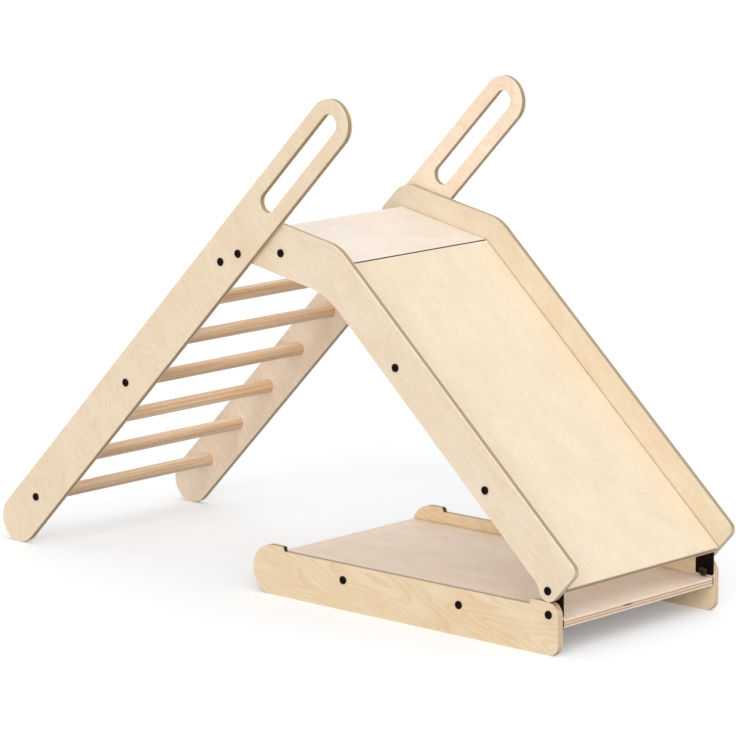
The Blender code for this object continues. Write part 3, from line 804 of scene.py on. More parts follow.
class GrowingTree:
    """A geometry tree in the making, which takes a mesh of points and named inputs."""

    def __init__(self, name: str, *labels: str) -> None:
        """Start the tree.

        Args:
            name: Its name.
            *labels: Its inputs' names.
        """
        self.tree = bpy.data.node_groups.new(name, "GeometryNodeTree")
        for way in ("OUTPUT", "INPUT"):
            self.tree.interface.new_socket("Geometry", in_out=way, socket_type="NodeSocketGeometry")
        for label in labels:
            kind = f"NodeSocket{SOCKET_KINDS.get(label, 'Float')}"
            self.tree.interface.new_socket(label, in_out="INPUT", socket_type=kind)
        self.add: Adder = partial(add_node, self.tree)
        self.given = self.add("NodeGroupInput").outputs

    def step(self, shape: Link, end: NodeSocket, height: Amount, share: Amount) -> tuple[Node, NodeSocket]:
        """Draw an end face out and scale it.

        Args:
            shape: The mesh.
            end: The selection of the end face.
            height: How far it is drawn out.
            share: Its new size as a share of the old.

        Returns:
            The mesh and the new end face's selection.
        """
        pull = {"Mesh": shape, "Selection": end, "Offset Scale": height, "Individual": False}
        drawn = self.add("GeometryNodeExtrudeMesh", pull, mode="FACES")
        sizing = {"Geometry": drawn, "Selection": drawn.outputs["Top"], "Scale": share}
        sized = self.add("GeometryNodeScaleElements", sizing, domain="FACE", scale_mode="UNIFORM")
        return sized, drawn.outputs["Top"]

    def head(self) -> tuple[Node, NodeSocket]:
        """Make a disc that stands on its seat at z = 0, its top rim a quarter round.

        Returns:
            The mesh and the selection of its seat.
        """
        add, radius, rim = self.add, self.given["Head Radius"], self.given["Rim Radius"]
        wall = add(MATH, {0: self.given["Head Height"], 1: rim}, operation="SUBTRACT")
        blank = add(CYLINDER, {"Vertices": HEAD_SIDES, "Radius": radius, "Depth": wall}, fill_type="NGON")
        half = add(MATH, {0: wall, 1: 0.5}, operation="MULTIPLY")
        rise = add("ShaderNodeCombineXYZ", {2: half})
        shape = add("GeometryNodeTransform", {"Geometry": blank, "Translation": rise})
        top, last = blank.outputs["Top"], radius
        for step in range(RIM_STEPS):
            low, high = pi / 2 * step / RIM_STEPS, pi / 2 * (step + 1) / RIM_STEPS
            height = add(MATH, {0: rim, 1: sin(high) - sin(low)}, operation="MULTIPLY")
            inner = add(MATH, {0: rim, 1: cos(high) - 1, 2: radius}, operation="MULTIPLY_ADD")
            share = add(MATH, {0: inner, 1: last}, operation="DIVIDE")
            shape, top = self.step(shape, top, height, share)
            last = inner
        return shape, blank.outputs["Bottom"]

    def chamfered(self, sides: int) -> Node:
        """Make an upright rod of the given radius and height, both its ends chamfered.

        Args:
            sides: How many flats it has.

        Returns:
            The mesh.
        """
        add, radius, chamfer = self.add, self.given["Radius"], self.given["Chamfer"]
        plain = add(MATH, {0: chamfer, 1: -2.0, 2: self.given["Height"]}, operation="MULTIPLY_ADD")
        rod = add(CYLINDER, {"Vertices": sides, "Radius": radius, "Depth": plain}, fill_type="NGON")
        small = add(MATH, {0: radius, 1: chamfer}, operation="SUBTRACT")
        share = add(MATH, {0: small, 1: radius}, operation="DIVIDE")
        shape, _ = self.step(rod, rod.outputs["Top"], chamfer, share)
        return self.step(shape, rod.outputs["Bottom"], chamfer, share)[0]

    def cut(self, shape: Link, sides: int, radius: str, depth: Amount, rise: Amount = 0.0) -> Node:
        """Cut an upright hole.

        Args:
            shape: The mesh.
            sides: How many flats the hole has.
            radius: The input with its radius.
            depth: The cutter's length.
            rise: The height of the cutter's middle.

        Returns:
            The mesh.
        """
        sized = {"Vertices": sides, "Radius": self.given[radius], "Depth": depth}
        rod = self.add(CYLINDER, sized, fill_type="NGON")
        place = self.add("ShaderNodeCombineXYZ", {2: rise})
        cutter = self.add("GeometryNodeTransform", {"Geometry": rod, "Translation": place})
        both = {"Mesh 1": shape, "Mesh 2": cutter}
        return self.add("GeometryNodeMeshBoolean", both, operation="DIFFERENCE", solver="EXACT")

    def socketed(self, shape: Link) -> Node:
        """Sink a hex socket into the top of a head."""
        lift = self.add(MATH, {0: self.given["Head Height"], 1: KEY_LENGTH / 2}, operation="ADD")
        floor = self.add(MATH, {0: lift, 1: self.given["Hex Depth"]}, operation="SUBTRACT")
        return self.cut(shape, HEX_SIDES, "Hex Radius", KEY_LENGTH, floor)

    def on_points(self, shape: Link, spin: float) -> Node:
        """Put a shape on each point, its Z along the point's outward direction.

        Args:
            shape: What goes on each point.
            spin: The most it is turned about its axis, at random from the seed.

        Returns:
            The instances.
        """
        add = self.add
        outward = add("GeometryNodeInputNamedAttribute", {"Name": "outward"}, data_type="FLOAT_VECTOR")
        upright = add("FunctionNodeAlignRotationToVector", {"Vector": outward}, axis="Z")
        chance = {2: 0.0, 3: spin, "Seed": self.given["Seed"]}
        turn = add("FunctionNodeRandomValue", chance, data_type="FLOAT")
        about = add("FunctionNodeAxisAngleToRotation", {"Axis": (0.0, 0.0, 1.0), "Angle": turn})
        both = {"Rotation": upright, "Rotate By": about}
        turned = add("FunctionNodeRotateRotation", both, rotation_space="LOCAL")
        spread = {"Points": self.given["Geometry"], "Instance": shape, "Rotation": turned}
        return add("GeometryNodeInstanceOnPoints", spread)

    def close(self, instances: Node) -> NodeTree:
        """End the tree: real geometry, edges kept sharp by angle, and the material set.

        Args:
            instances: What it made.

        Returns:
            The tree.
        """
        add = self.add
        real = add("GeometryNodeRealizeInstances", {"Geometry": instances})
        angle = add("GeometryNodeInputMeshEdgeAngle")
        limit = {0: angle, 1: SMOOTH_LIMIT}
        sharp = add("FunctionNodeCompare", limit, data_type="FLOAT", operation="GREATER_THAN")
        smooth = add("GeometryNodeSetShadeSmooth", {"Geometry": real, "Shade Smooth": True}, domain="FACE")
        edges = {"Geometry": smooth, "Selection": sharp, "Shade Smooth": False}
        creased = add("GeometryNodeSetShadeSmooth", edges, domain="EDGE")
        dressed = add("GeometryNodeSetMaterial", {"Geometry": creased, "Material": self.given["Material"]})
        add("NodeGroupOutput", {0: dressed})
        return self.tree


def headed_tree() -> NodeTree:
    """Low round head with a softened rim and a hex socket, on a plain shank with a tip."""
    made = GrowingTree("headed_fastener", *HEAD_LABELS, *SHANK_LABELS, "Seed", "Material")
    shape, seat = made.head()
    radius, length, tip, tip_radius = (made.given[label] for label in SHANK_LABELS)
    neck = made.add(MATH, {0: radius, 1: made.given["Head Radius"]}, operation="DIVIDE")
    plain = made.add(MATH, {0: length, 1: tip}, operation="SUBTRACT")
    point = made.add(MATH, {0: tip_radius, 1: radius}, operation="DIVIDE")
    for height, share in ((0.0, neck), (plain, 1.0), (tip, point)):
        shape, seat = made.step(shape, seat, height, share)
    return made.close(made.on_points(made.socketed(shape), 2 * pi))


def nut_tree() -> NodeTree:
    """Round cap nut: a socketed head with a blind bore in its seat."""
    made = GrowingTree("cap_nut", *HEAD_LABELS, *BORE_LABELS, "Seed", "Material")
    depth = made.add(MATH, {0: made.given["Bore Depth"], 1: 2.0}, operation="MULTIPLY")
    bored = made.cut(made.head()[0], BORE_SIDES, "Bore Radius", depth)
    return made.close(made.on_points(made.socketed(bored), 2 * pi))


def washer_tree() -> NodeTree:
    """Round disc with broken edges and a bore."""
    made = GrowingTree("washer", "Radius", "Height", "Chamfer", "Bore Radius", "Seed", "Material")
    cut = made.cut(made.chamfered(HEAD_SIDES), BORE_SIDES, "Bore Radius", PUNCH_LENGTH)
    return made.close(made.on_points(cut, pi / 3))


def rung_tree() -> NodeTree:
    """A row of chamfered round rungs from the first place on, a step apart."""
    made = GrowingTree("rung_row", "Count", "First", "Step", "Radius", "Height", "Chamfer", "Material")
    rod = made.chamfered(RUNG_SIDES)
    level = made.add("GeometryNodeTransform", {"Geometry": rod, "Rotation": (pi / 2, 0.0, 0.0)})
    count, first, step = (made.given[label] for label in ("Count", "First", "Step"))
    line = {"Count": count, "Start Location": first, "Offset": step}
    row = made.add("GeometryNodeMeshLine", line, mode="OFFSET")
    return made.close(made.add("GeometryNodeInstanceOnPoints", {"Points": row, "Instance": level}))


def grow(name: str, tree: NodeTree, driven: Sequence[Driven], settings: dict[str, Any]) -> Object:
    """Run a geometry tree on a mesh of points and keep what it makes as a plain mesh.

    Args:
        name: The piece's name.
        tree: The tree.
        driven: Each copy's place in the frame, and which way along Y it points.
        settings: A value for each named input.

    Returns:
        The piece.
    """
    mesh = bpy.data.meshes.new(name)
    mesh.from_pydata([place for place, _ in driven], [], [])
    outward = mesh.attributes.new("outward", "FLOAT_VECTOR", "POINT")
    for index, (_, way) in enumerate(driven):
        outward.data[index].vector = (0, way, 0)
    piece = add_object(name, mesh)
    modifier = piece.modifiers.new("grow", "NODES")
    modifier.node_group = tree
    for socket in tree.interface.items_tree:
        if socket.in_out == "INPUT" and socket.name in settings:
            modifier[socket.identifier] = settings[socket.name]
    piece.data = plain_mesh(piece)
    piece.modifiers.clear()
    return piece


@dataclass
class Hardware:
    """Makes every screw, bolt, nut and washer of the ramp, in pairs near and far."""

    view: SideView
    steel: Material
    nut_steel: Material
    head_radius: float = 0.008
    head_height: float = 0.0025
    rim_radius: float = 0.0009
    hex_flats: float = 0.005
    hex_depth: float = 0.0018
    screw_tip: float = 0.006
    screw_point: float = 0.0003
    bolt_tip: float = 0.001
    nut_radius: float = 0.009
    nut_height: float = 0.005
    nut_bore: float = 0.0025
    washer_radius: float = 0.009
    washer_edge: float = 0.0003
    headed: NodeTree = field(default_factory=headed_tree)
    nut: NodeTree = field(default_factory=nut_tree)
    washer: NodeTree = field(default_factory=washer_tree)

    def fit(
        self, name: str, tree: NodeTree, places: Places, across: float, way: int, settings: dict[str, Any]
    ) -> Object:
        """Grow one kind of hardware on both sides of the ramp.

        Args:
            name: The piece's name.
            tree: The tree that makes it.
            places: The side-view places.
            across: How far out they sit.
            way: 1 for heads that point outwards, -1 for inwards.
            settings: Sizes and seed.

        Returns:
            The piece.
        """
        driven = [
            (space(place, side.value * across), way * side.value)
            for side in Side
            for place in self.view.placed(places)
        ]
        return grow(name, tree, driven, settings | {"Material": self.steel})

    def finish(self, item: Object, body: str, *stems: str) -> None:
        """Tie a piece to a body, for the near and far CAD nodes with these stems."""
        nodes = [f"{side.word}_{stem}" for side in Side for stem in stems]
        steel = self.nut_steel if stems[0].endswith("nut") else self.steel
        finish_piece(item, steel, body, nodes)

    def head_sizes(self, radius: float, height: float) -> dict[str, float]:
        """Sizes of a socketed head, by its tree's labels."""
        sizes = (radius, height, self.rim_radius, self.hex_flats / sqrt(3), self.hex_depth)
        return dict(zip(HEAD_LABELS, sizes))

    def drive(self, name: str, places: Places, face: float, shank: tuple[float, ...]) -> Object:
        """Make screws or bolts driven inwards from both sides.

        Args:
            name: The piece's name.
            places: Their side-view places.
            face: How far out the face under their heads is.
            shank: The shank's radius and length, and the tip's length and end radius.

        Returns:
            The piece.
        """
        sizes = self.head_sizes(self.head_radius, self.head_height) | dict(zip(SHANK_LABELS, shank))
        return self.fit(name, self.headed, places, face + self.view.seat, 1, sizes | {"Seed": 7})

    def screws(self, name: str, places: Places, face: float, body: str, *stems: str) -> None:
        """Make and finish wood screws with pointed ends.

        Args:
            name: The piece's name.
            places: Their side-view places.
            face: How far out the face under their heads is.
            body: The CAD body they move with.
            *stems: Their CAD nodes' names without the side.
        """
        shank = (self.view.screw_diameter / 2, self.view.screw_length, self.screw_tip, self.screw_point)
        self.finish(self.drive(name, places, face, shank), body, *stems)

    def bolted(self, name: str, place: Vector, face: float, back: float, body: str) -> None:
        """Make and finish bolts with cap nuts on their ends, and washers where the ladder turns.

        Args:
            name: What the pieces' names start with, the joint its last word.
            place: Their side-view place.
            face: How far out the face under the heads is.
            back: How far out the face under the nuts is.
            body: The CAD body they move with.
        """
        view = self.view
        joint = name.rpartition("_")[2]
        radius = view.bolt_diameter / 2
        shank = (radius, face - back + view.seat + self.nut_bore, self.bolt_tip, radius - self.bolt_tip)
        self.finish(self.drive(f"{name}_bolts", [place], face, shank), body, f"{joint}_bolt")
        bore = {"Bore Radius": radius + view.bore_clearance, "Bore Depth": self.nut_bore}
        if face > view.panel_face:
            height = view.ladder_gap - 2 * view.seat
            sizes = {"Radius": self.washer_radius, "Height": height, "Chamfer": self.washer_edge, "Seed": 5}
            across = view.panel_face + view.ladder_gap / 2
            washers = self.fit(f"{name}_washers", self.washer, [place], across, 1, bore | sizes)
            self.finish(washers, body, f"{joint}_washer")
        sizes = self.head_sizes(self.nut_radius, self.nut_height) | {"Seed": 3}
        nuts = self.fit(f"{name}_nuts", self.nut, [place], back - view.seat, -1, bore | sizes)
        self.finish(nuts, body, f"{joint}_nut")


# Sub-assemblies

@dataclass
class SubAssembly:
    """What the three sub-assemblies share: the side view, the hardware and how boards are clad."""

    view: SideView
    hardware: Hardware

    def clad(self, item: Object, ply: BirchPlywood, lie: Lie, body: str, node: str) -> None:
        """Give a board its plywood and tie it to its CAD node.

        Args:
            item: The board.
            ply: Its plywood.
            lie: How its veneer lies.
            body: The CAD body that it moves with.
            node: The CAD node that it stands for.
        """
        finish_piece(item, ply.material(node, lie), body, [node])

    def upright_lie(
        self, side: Side, back: float, grain: Vector, along: float = 0.0, out: float = 0.0
    ) -> Lie:
        """How the veneer of an upright panel lies.

        Args:
            side: The side of the ramp it stands on.
            back: How far out its inner face is.
            grain: The grain's side-view direction.
            along: Where its figure starts along the ramp.
            out: How far its layers lie off the panel's middle.

        Returns:
            The lie.
        """
        middle = Vector((along, side.value * (back + self.view.ply / 2) + out, 0))
        return Lie(middle, space(grain, 0), Vector((0, -1, 0)))


@dataclass
class SlideFrame(SubAssembly):
    """Slide and platform boards between two bent panels, on round feet."""

    slide_lip: float = 0.0495
    platform_lip: float = 0.0469
    slide_skirt: float = 0.0235
    # Size of the painted shade along the gap at the bend
    bend_shade_depth: float = 0.0032
    bend_shade_width: float = 1.0
    sanded_off: float = 0.0018
    nose_radius: float = 0.0175
    top_bend_radius: float = 0.080
    under_bend_radius: float = 0.168
    tail_top_radius: float = 0.045
    tail_low_radius: float = 0.025
    foot_flare: float = 0.028
    foot_flare_radius: float = 0.020
    board_gap: float = 0.0034
    slide_screw_shares: tuple[float, float] = (0.31, 0.69)
    platform_screw_share: float = 0.48

    def panel_outline(self) -> list[Vector]:
        """A slope arm with a round foot lobe and a platform arm that ends at the ladder."""
        view = self.view
        nose = view.slide_end + view.off_slope * self.slide_lip
        platform_top = view.platform_end + view.off_platform * self.platform_lip
        rail_edge = view.rail_at_pivot + view.off_ladder * (view.rail_width / 2)
        arm_under = view.top_rung + view.off_platform * (view.rung_diameter / 2 + view.seat)
        slope_under = view.slide_end - view.off_slope * (view.ply + self.slide_skirt)
        flare_start = view.foot_bolt - view.down_slope * self.foot_flare
        flare = meet(flare_start, view.off_slope, slope_under, view.down_slope)
        lobe_side = tangent_from(flare, view.foot_bolt, view.foot_radius, -1)
        return rounded([
            (nose, self.nose_radius),
            (meet(nose, view.down_slope, platform_top, view.up_platform), self.top_bend_radius),
            (meet(platform_top, view.up_platform, rail_edge, view.up_ladder), self.tail_top_radius),
            (meet(rail_edge, view.up_ladder, arm_under, view.up_platform), self.tail_low_radius),
            (meet(arm_under, view.up_platform, slope_under, view.down_slope), self.under_bend_radius),
            (flare, self.foot_flare_radius),
            (meet(flare, lobe_side, view.slide_end, view.off_slope), view.foot_radius),
        ])

    def slide_screws(self) -> list[Vector]:
        """Screw places on the slide board's mid-thickness, from the top down."""
        view = self.view
        top = view.bend - view.off_slope * (view.ply / 2)
        return [top + view.down_slope * (view.slide_length * share) for share in self.slide_screw_shares]

    def platform_screw(self) -> Vector:
        """Screw place on the platform board's mid-thickness."""
        view = self.view
        back = view.up_platform * (view.platform_length * self.platform_screw_share)
        return view.platform_end - back - view.off_platform * (view.ply / 2)

    def build(self) -> None:
        """Make and finish the panels, the boards and their hardware."""
        view = self.view
        body = "slide_frame"
        screws = [self.platform_screw(), *self.slide_screws()]
        # The far panel's duller tones are partly its own veneer and partly painted shade
        tones = {Side.NEAR: ("#F2E1C8", "#EFDABF"), Side.FAR: ("#E5D6BE", "#E0CDB2")}
        for side, (pale, warm) in tones.items():
            node = f"{side.word}_slide_panel"
            panel = view.upright(f"{node}_board", [self.panel_outline()], side, view.panel_back)
            view.pierce(panel, side, view.panel_back, screws, [view.pivot, view.foot_bolt])
            lie = self.upright_lie(side, view.panel_back, view.down_slope, out=self.sanded_off)
            self.clad(panel, BirchPlywood(view.ply, pale, warm, "#E0C49C"), lie, body, node)
        # Painted shade: a dark band down the gap where the slide and platform boards meet at the bend
        place = view.bend - view.mitre * self.bend_shade_depth + view.shift
        reach = Vector((self.bend_shade_depth, self.bend_shade_width, self.bend_shade_depth))
        marks = (Mark(space(place, 0), reach, "#33241A", False), *view.seams)
        dark = {"across_dark": "#9A7C58", "across_light": "#B59B76"}
        plain = BirchPlywood(view.ply, "#EFDFC6", "#ECDABF", "#E0CBA8", 0.12, marks=marks, **dark)
        pink = BirchPlywood(view.ply, "#F6EADD", "#F2E3D4", "#E6CFB6", 0.12, marks=marks)
        slope, level = space(view.down_slope, 0), Vector((0, 1, 0))
        slide = (view.down_slope, view.slide_end, view.off_slope, self.slide_screws())
        self.build_board("slide_board", *slide, (plain, slope))
        platform = (view.up_platform, view.platform_end, view.off_platform, [self.platform_screw()])
        self.build_board("platform_board", *platform, (pink, level))
        stems = ("platform_screw", "upper_slide_screw", "lower_slide_screw")
        self.hardware.screws("slide_frame_screws", screws, view.panel_face, body, *stems)
        self.hardware.bolted("slide_foot", view.foot_bolt, view.panel_face, view.plate_back, body)

    def build_board(
        self,
        node: str,
        way: Vector,
        end: Vector,
        off: Vector,
        screws: Places,
        finish: tuple[BirchPlywood, Vector],
    ) -> None:
        """Make and finish a board that runs from the mitred bend to a square end.

        Args:
            node: Its CAD node.
            way: Its direction from the bend.
            end: The upper corner of its square end.
            off: Direction off its upper face.
            screws: Its screws' side-view places.
            finish: Its plywood and the grain's direction in the frame.
        """
        view = self.view
        start = view.bend + way * (self.board_gap / 2)
        under = start - off * view.ply
        outline = [start, end, meet(under, way, end, off), meet(under, way, start, view.mitre)]
        board = view.board(f"{node}_top", outline, screws)
        middle = space(end + view.shift - off * (view.ply / 2), 0)
        self.clad(board, finish[0], Lie(middle, finish[1], space(off, 0)), "slide_frame", node)


@dataclass
class HingedBase(SubAssembly):
    """A low deck between two rails, which hangs on plates from the slide frame's feet."""

    recess: float = 0.010
    knob_height: float = 0.0985
    knob_length: float = 0.080
    knob_slope: float = radians(78)
    knob_step_radius: float = 0.004
    hump_length: float = 0.063
    hump_run: float = 0.006
    hump_radius: float = 0.005
    front_top_radius: float = 0.025
    front_low_radius: float = 0.020
    plate_length: float = 0.042
    plate_rise: float = 0.004
    plate_corner: float = 0.004
    plate_back_radius: float = 0.016
    plate_edge: float = 0.0004
    eye_clearance: float = 0.0009
    screw_shares: tuple[float, float] = (0.31, 0.69)
    rail_grain: float = radians(-8)
    figure_start: float = 0.2
    step_patch_lead: float = 0.0005
    step_patch_drop: float = 0.005
    step_patch_reach: tuple[float, float, float] = (0.0062, 0.02, 0.0072)
    core_gap_shade_drop: float = 0.0035
    core_gap_shade_across: float = -0.035
    core_gap_shade_reach: tuple[float, float, float] = (0.006, 0.0175, 0.0028)
    end_gap_shade_reach: tuple[float, float, float] = (0.005, 0.0045, 0.02)

    def rail_outline(self) -> list[Vector]:
        """A round knob behind, a long recess and a hump under the foot bolt."""
        view = self.view
        level = heading(0)
        radius = self.knob_height / 2
        knob_top = Vector((view.base_back, self.knob_height))
        knob_front = knob_top + level * self.knob_length
        top = Vector((0, view.base_height))
        recess = top - Vector((0, self.recess))
        hump = top + level * (view.base_front - self.hump_length)
        return rounded([
            (level * view.base_front, self.front_low_radius),
            (top + level * view.base_front, self.front_top_radius),
            (hump, self.hump_radius),
            (recess + level * (view.base_front - self.hump_length - self.hump_run), self.hump_radius),
            (meet(knob_front, heading(-self.knob_slope), recess, level), self.knob_step_radius),
            (knob_front, self.knob_step_radius),
            (knob_top, radius),
            (level * view.base_back, radius),
        ])

    def plate_outline(self) -> list[Vector]:
        """Upright sides, and a top cut to clear the slide board however the base is turned."""
        view = self.view
        level, upward = heading(0), heading(pi / 2)
        front = Vector((view.base_front, view.deck_height + self.plate_rise))
        back = front - level * self.plate_length
        eye = view.foot_drop - self.eye_clearance
        under_slide = view.foot_bolt + view.off_slope * eye
        level_top = view.foot_bolt + upward * eye
        return rounded([
            (front, self.plate_corner),
            (meet(front, upward, under_slide, view.down_slope), self.plate_corner),
            (meet(level_top, level, under_slide, view.down_slope), eye),
            (meet(back, upward, level_top, level), self.plate_back_radius),
            (back, self.plate_corner),
        ])

    def build(self) -> None:
        """Make and finish the rails, the hinge plates, the deck and their hardware."""
        view = self.view
        length, height = view.base_length, view.deck_height - view.ply / 2
        screws = [Vector((view.base_back + length * share, height)) for share in self.screw_shares]
        # A near-black patch on the plies of each rail's knob step face
        lead = view.base_back + self.knob_length + self.step_patch_lead
        step = Vector((lead, self.knob_height - self.step_patch_drop)) + view.shift
        for side in Side:
            node = f"{side.word}_base_rail"
            rail = view.upright(f"{node}_board", [self.rail_outline()], side, view.panel_back)
            view.pierce(rail, side, view.panel_back, screws, [view.hinge_bolt])
            along = self.figure_start * side.value
            lie = self.upright_lie(side, view.panel_back, heading(self.rail_grain), along)
            step_patch = Mark(space(step, lie.middle.y), Vector(self.step_patch_reach), "#1E110A")
            ply = BirchPlywood(view.ply, "#F0DAB8", "#EDD3AE", "#CFA274", 0.24, marks=(step_patch,))
            self.clad(rail, ply, lie, "base", node)
            self.build_plate(side)
        self.build_deck(screws)
        stems = ("back_deck_screw", "front_deck_screw")
        self.hardware.screws("base_deck_screws", screws, view.panel_face, "base", *stems)
        self.hardware.bolted("base_hinge", view.hinge_bolt, view.panel_face, view.plate_back, "base")

    def build_deck(self, screws: Places) -> None:
        """Make and finish the deck board.

        Args:
            screws: Its screws' side-view places.
        """
        view = self.view
        start, high = view.base_back + view.deck_setback, view.deck_height
        # Painted shade: a near-black dash on the deck's front edge stands for a core gap in the plies
        edge = Vector((view.base_front, high - self.core_gap_shade_drop)) + view.shift
        core_gap_shade = Mark(space(edge, self.core_gap_shade_across), Vector(self.core_gap_shade_reach), "#140B06")
        # Painted shade: dark patches at the deck's front corners stand for the shaded gaps beside the rails
        ends = [space(edge, side.value * view.board_end) for side in Side]
        corners = [Mark(end, Vector(self.end_gap_shade_reach), "#1E120B", False) for end in ends]
        dark = {"across_dark": "#B18B66", "across_light": "#E6C8AC"}
        marks = (core_gap_shade, *corners, *view.seams)
        pink = BirchPlywood(view.ply, "#FCEBDA", "#F8E3CF", "#E4C3A4", marks=marks, **dark)
        front, low = view.base_front, high - view.ply
        outline = [Vector(point) for point in ((start, high), (front, high), (front, low), (start, low))]
        deck = view.board("deck_board_top", outline, screws)
        lie = Lie(Vector((0, 0, high - view.ply / 2)), Vector((1, 0, 0)), Vector((0, 0, 1)))
        self.clad(deck, pink, lie, "base", "deck_board")

    def build_plate(self, side: Side) -> None:
        """Make and finish one black hinge plate.

        Args:
            side: Its side of the ramp.
        """
        view = self.view
        node = f"{side.word}_hinge_plate"
        low, high = sorted((side.value * view.plate_back, side.value * view.board_end))
        plate = flat_piece(f"{node}_steel", [view.placed(self.plate_outline())], low, high, self.plate_edge)
        holes = view.placed([view.foot_bolt, view.hinge_bolt])
        drill(plate, holes, view.bore(view.bolt_diameter), low - OVERRUN, high + OVERRUN)
        settle(plate)
        finish_piece(plate, self.hardware.steel, "base", [node])


@dataclass
class Ladder(SubAssembly):
    """Two long rails with a hand slot each, joined by round rungs in blind sockets."""

    socket: float = 0.008
    chamfer: float = 0.001
    slot_past_pivot: float = 0.1313
    slot_travel: float = 0.2292
    slot_width: float = 0.040
    screwed_rungs: tuple[int, ...] = (0, 3, 6)

    def round_ended(self, start: float, end: float, width: float) -> list[Vector]:
        """Outline of a straight shape with round ends on the rails' middle line.

        Args:
            start: Its lower round's middle, along the rail from beside the pivot.
            end: Its upper round's middle.
            width: Its width.

        Returns:
            Its outline.
        """
        view = self.view
        low = view.rail_at_pivot + view.up_ladder * (start - width / 2) - view.off_ladder * (width / 2)
        along = view.up_ladder * (end - start + width)
        across = view.off_ladder * width
        corners = [low, low + along, low + along + across, low + across]
        return rounded([(corner, width / 2) for corner in corners])

    def build(self) -> None:
        """Make and finish the rails, the rungs and their hardware."""
        view = self.view
        slot_end = self.slot_past_pivot + self.slot_travel
        rail = self.round_ended(-view.foot_reach, slot_end, view.rail_width)
        slot = self.round_ended(self.slot_past_pivot, slot_end, self.slot_width)
        # The far rail's paler, pinker tones are partly its own veneer and partly painted light on its
        # shaded inner face
        tones = {Side.NEAR: ("#F1DEC2", "#EFD8BA"), Side.FAR: ("#F9E6D0", "#F5DDC3")}
        screwed = [view.rungs[index] for index in self.screwed_rungs]
        dark = {"across_dark": "#8C714D", "across_light": "#AE9873"}
        for side, (pale, warm) in tones.items():
            node = f"{side.word}_ladder_rail"
            item = view.upright(f"{node}_board", [rail, slot], side, view.rail_back)
            mouth, floor = (side.value * (view.rail_back + depth) for depth in (-OVERRUN, self.socket))
            drill(item, view.placed(view.rungs), view.bore(view.rung_diameter), mouth, floor)
            view.pierce(item, side, view.rail_back, screwed, [view.pivot])
            lie = self.upright_lie(side, view.rail_back, view.off_ladder)
            self.clad(item, BirchPlywood(view.ply, pale, warm, "#DDB98C", **dark), lie, "ladder", node)
        self.build_rungs()
        stems = [f"rung_{index + 1}_screw" for index in self.screwed_rungs]
        self.hardware.screws("ladder_rung_screws", screwed, view.rail_face, "ladder", *stems)
        self.hardware.bolted("ladder_pivot", view.pivot, view.rail_face, view.panel_back, "ladder")

    def build_rungs(self) -> None:
        """Make and finish the rungs."""
        view = self.view
        beech = TurnedBeech().material()
        rungs = grow("ladder_rungs", rung_tree(), [], {
            "Count": view.rung_count,
            "First": tuple(space(view.rungs[0] + view.shift, 0)),
            "Step": tuple(space(view.rungs[1] - view.rungs[0], 0)),
            "Radius": view.rung_diameter / 2,
            "Height": 2 * (view.rail_back + self.socket - view.seat),
            "Chamfer": self.chamfer,
            "Material": beech,
        })
        nodes = [f"rung_{index + 1}" for index in range(view.rung_count)]
        finish_piece(rungs, beech, "ladder", nodes)


# Studio

@dataclass(frozen=True)
class Lamp:
    """A distant soft lamp: the way its light travels, its strength and how wide it looks."""

    name: str
    heading: tuple[float, float, float]
    strength: float
    spread: float

    def hang(self) -> None:
        """Put the lamp in the scene."""
        data = bpy.data.lights.new(self.name, "SUN")
        data.energy = self.strength
        data.angle = self.spread
        item = bpy.data.objects.new(self.name, data)
        item.rotation_euler = Vector(self.heading).to_track_quat("-Z", "Y").to_euler()
        bpy.context.scene.collection.objects.link(item)


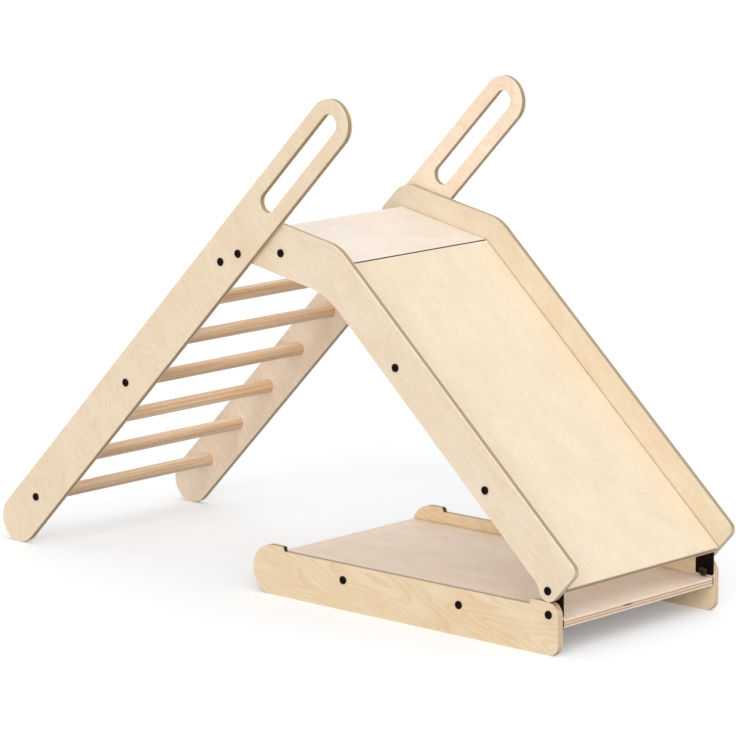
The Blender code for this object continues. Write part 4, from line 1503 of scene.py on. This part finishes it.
@dataclass
class Studio:
    """Pale floor, soft plain light and the camera."""

    floor_span: float = 120.0
    floor_glow: float = 0.19
    camera_place: tuple[float, float, float] = (5.4289, -5.8840, 1.9311)
    camera_yaw: float = -0.742438
    camera_pitch: float = 0.187119
    camera_roll: float = 0.002854
    lens: float = 202.335
    sensor: float = 36
    sight: float = 400
    sky_strength: float = 0.54
    lamps: tuple[Lamp, ...] = (
        Lamp("overhead_lamp", (-0.35, 0.0, -0.93), 0.75, radians(70)),
        Lamp("front_lamp", (-0.53, 0.79, -0.31), 1.9, radians(50)),
        Lamp("back_lamp", (0.60, -0.70, -0.35), 0.3, radians(80)),
    )

    def build(self) -> None:
        """Make the floor, the light and the camera."""
        self.build_floor()
        self.build_sky()
        for lamp in self.lamps:
            lamp.hang()
        self.build_camera()
        LOG.info("studio is ready")

    def build_floor(self) -> None:
        """A wide paper floor, plain white where no shadow lies, that sends little light back up."""
        half = self.floor_span / 2
        mesh = bpy.data.meshes.new("paper_floor")
        corners = [(-half, -half, 0), (half, -half, 0), (half, half, 0), (-half, half, 0)]
        mesh.from_pydata(corners, [], [(0, 1, 2, 3)])
        floor = add_object("paper_floor", mesh)
        material, add, _ = new_finish("white_paper")
        tree = material.node_tree
        tree.nodes.clear()
        colours = {0: self.seen(add, 1.0), 6: linear("#BABABA"), 7: linear("#F0F2F5")}
        paper = add("ShaderNodeBsdfDiffuse", {"Color": add(MIX, colours, data_type="RGBA")})
        shining = {"Color": linear("#FFFFFF"), "Strength": self.seen(add, self.floor_glow)}
        both = add("ShaderNodeAddShader", {0: paper, 1: add("ShaderNodeEmission", shining)})
        add("ShaderNodeOutputMaterial", {"Surface": both})
        mesh.materials.append(material)

    def seen(self, add: Adder, strength: float) -> Node:
        """A strength for what the camera sees, directly, mirrored or through glass."""
        rays = add("ShaderNodeLightPath").outputs
        reached = {0: rays["Is Glossy Ray"], 1: rays["Is Transmission Ray"]}
        mirrored = add(MATH, reached, operation="MAXIMUM")
        direct = add(MATH, {0: rays["Is Camera Ray"], 1: mirrored}, operation="MAXIMUM")
        return add(MATH, {0: direct, 1: strength}, operation="MULTIPLY")

    def build_sky(self) -> None:
        """Even light from all round, seen as plain white."""
        world = bpy.data.worlds.new("studio")
        bpy.context.scene.world = world
        world.use_nodes = True
        world.node_tree.nodes.clear()
        add = partial(add_node, world.node_tree)
        extra = {0: self.seen(add, 1 - self.sky_strength), 1: self.sky_strength}
        strength = add(MATH, extra, operation="ADD")
        light = add("ShaderNodeBackground", {"Color": linear("#FFFFFF"), "Strength": strength})
        add("ShaderNodeOutputWorld", {"Surface": light})

    def build_camera(self) -> None:
        """The camera at the photograph's viewing angle."""
        scene = bpy.context.scene
        data = bpy.data.cameras.new("camera")
        data.sensor_width = self.sensor
        data.lens = self.lens
        data.clip_end = self.sight
        camera = bpy.data.objects.new("camera", data)
        turns = ((-self.camera_yaw, "Z"), (pi / 2 - self.camera_pitch, "X"), (-self.camera_roll, "Z"))
        yaw, pitch, roll = (Matrix.Rotation(angle, 4, axis) for angle, axis in turns)
        camera.matrix_world = Matrix.Translation(self.camera_place) @ yaw @ pitch @ roll
        scene.collection.objects.link(camera)
        scene.camera = camera
        scene.view_settings.view_transform = "Standard"


def main() -> None:
    """Build the ramp's finished pieces and the studio round it."""
    logging.basicConfig(level=logging.INFO, format="%(message)s")
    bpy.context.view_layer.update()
    view = SideView()
    steel = BlackOxideSteel().material("black_oxide_steel")
    # The cap nuts get a lighter grey-brown copy of the black steel
    lighter_steel = BlackOxideSteel(colour="#43372F", worn="#63554B").material("lighter_black_oxide_steel")
    hardware = Hardware(view, steel, lighter_steel)
    for part in (SlideFrame(view, hardware), HingedBase(view, hardware), Ladder(view, hardware), Studio()):
        part.build()


if __name__ == "__main__":
    main()
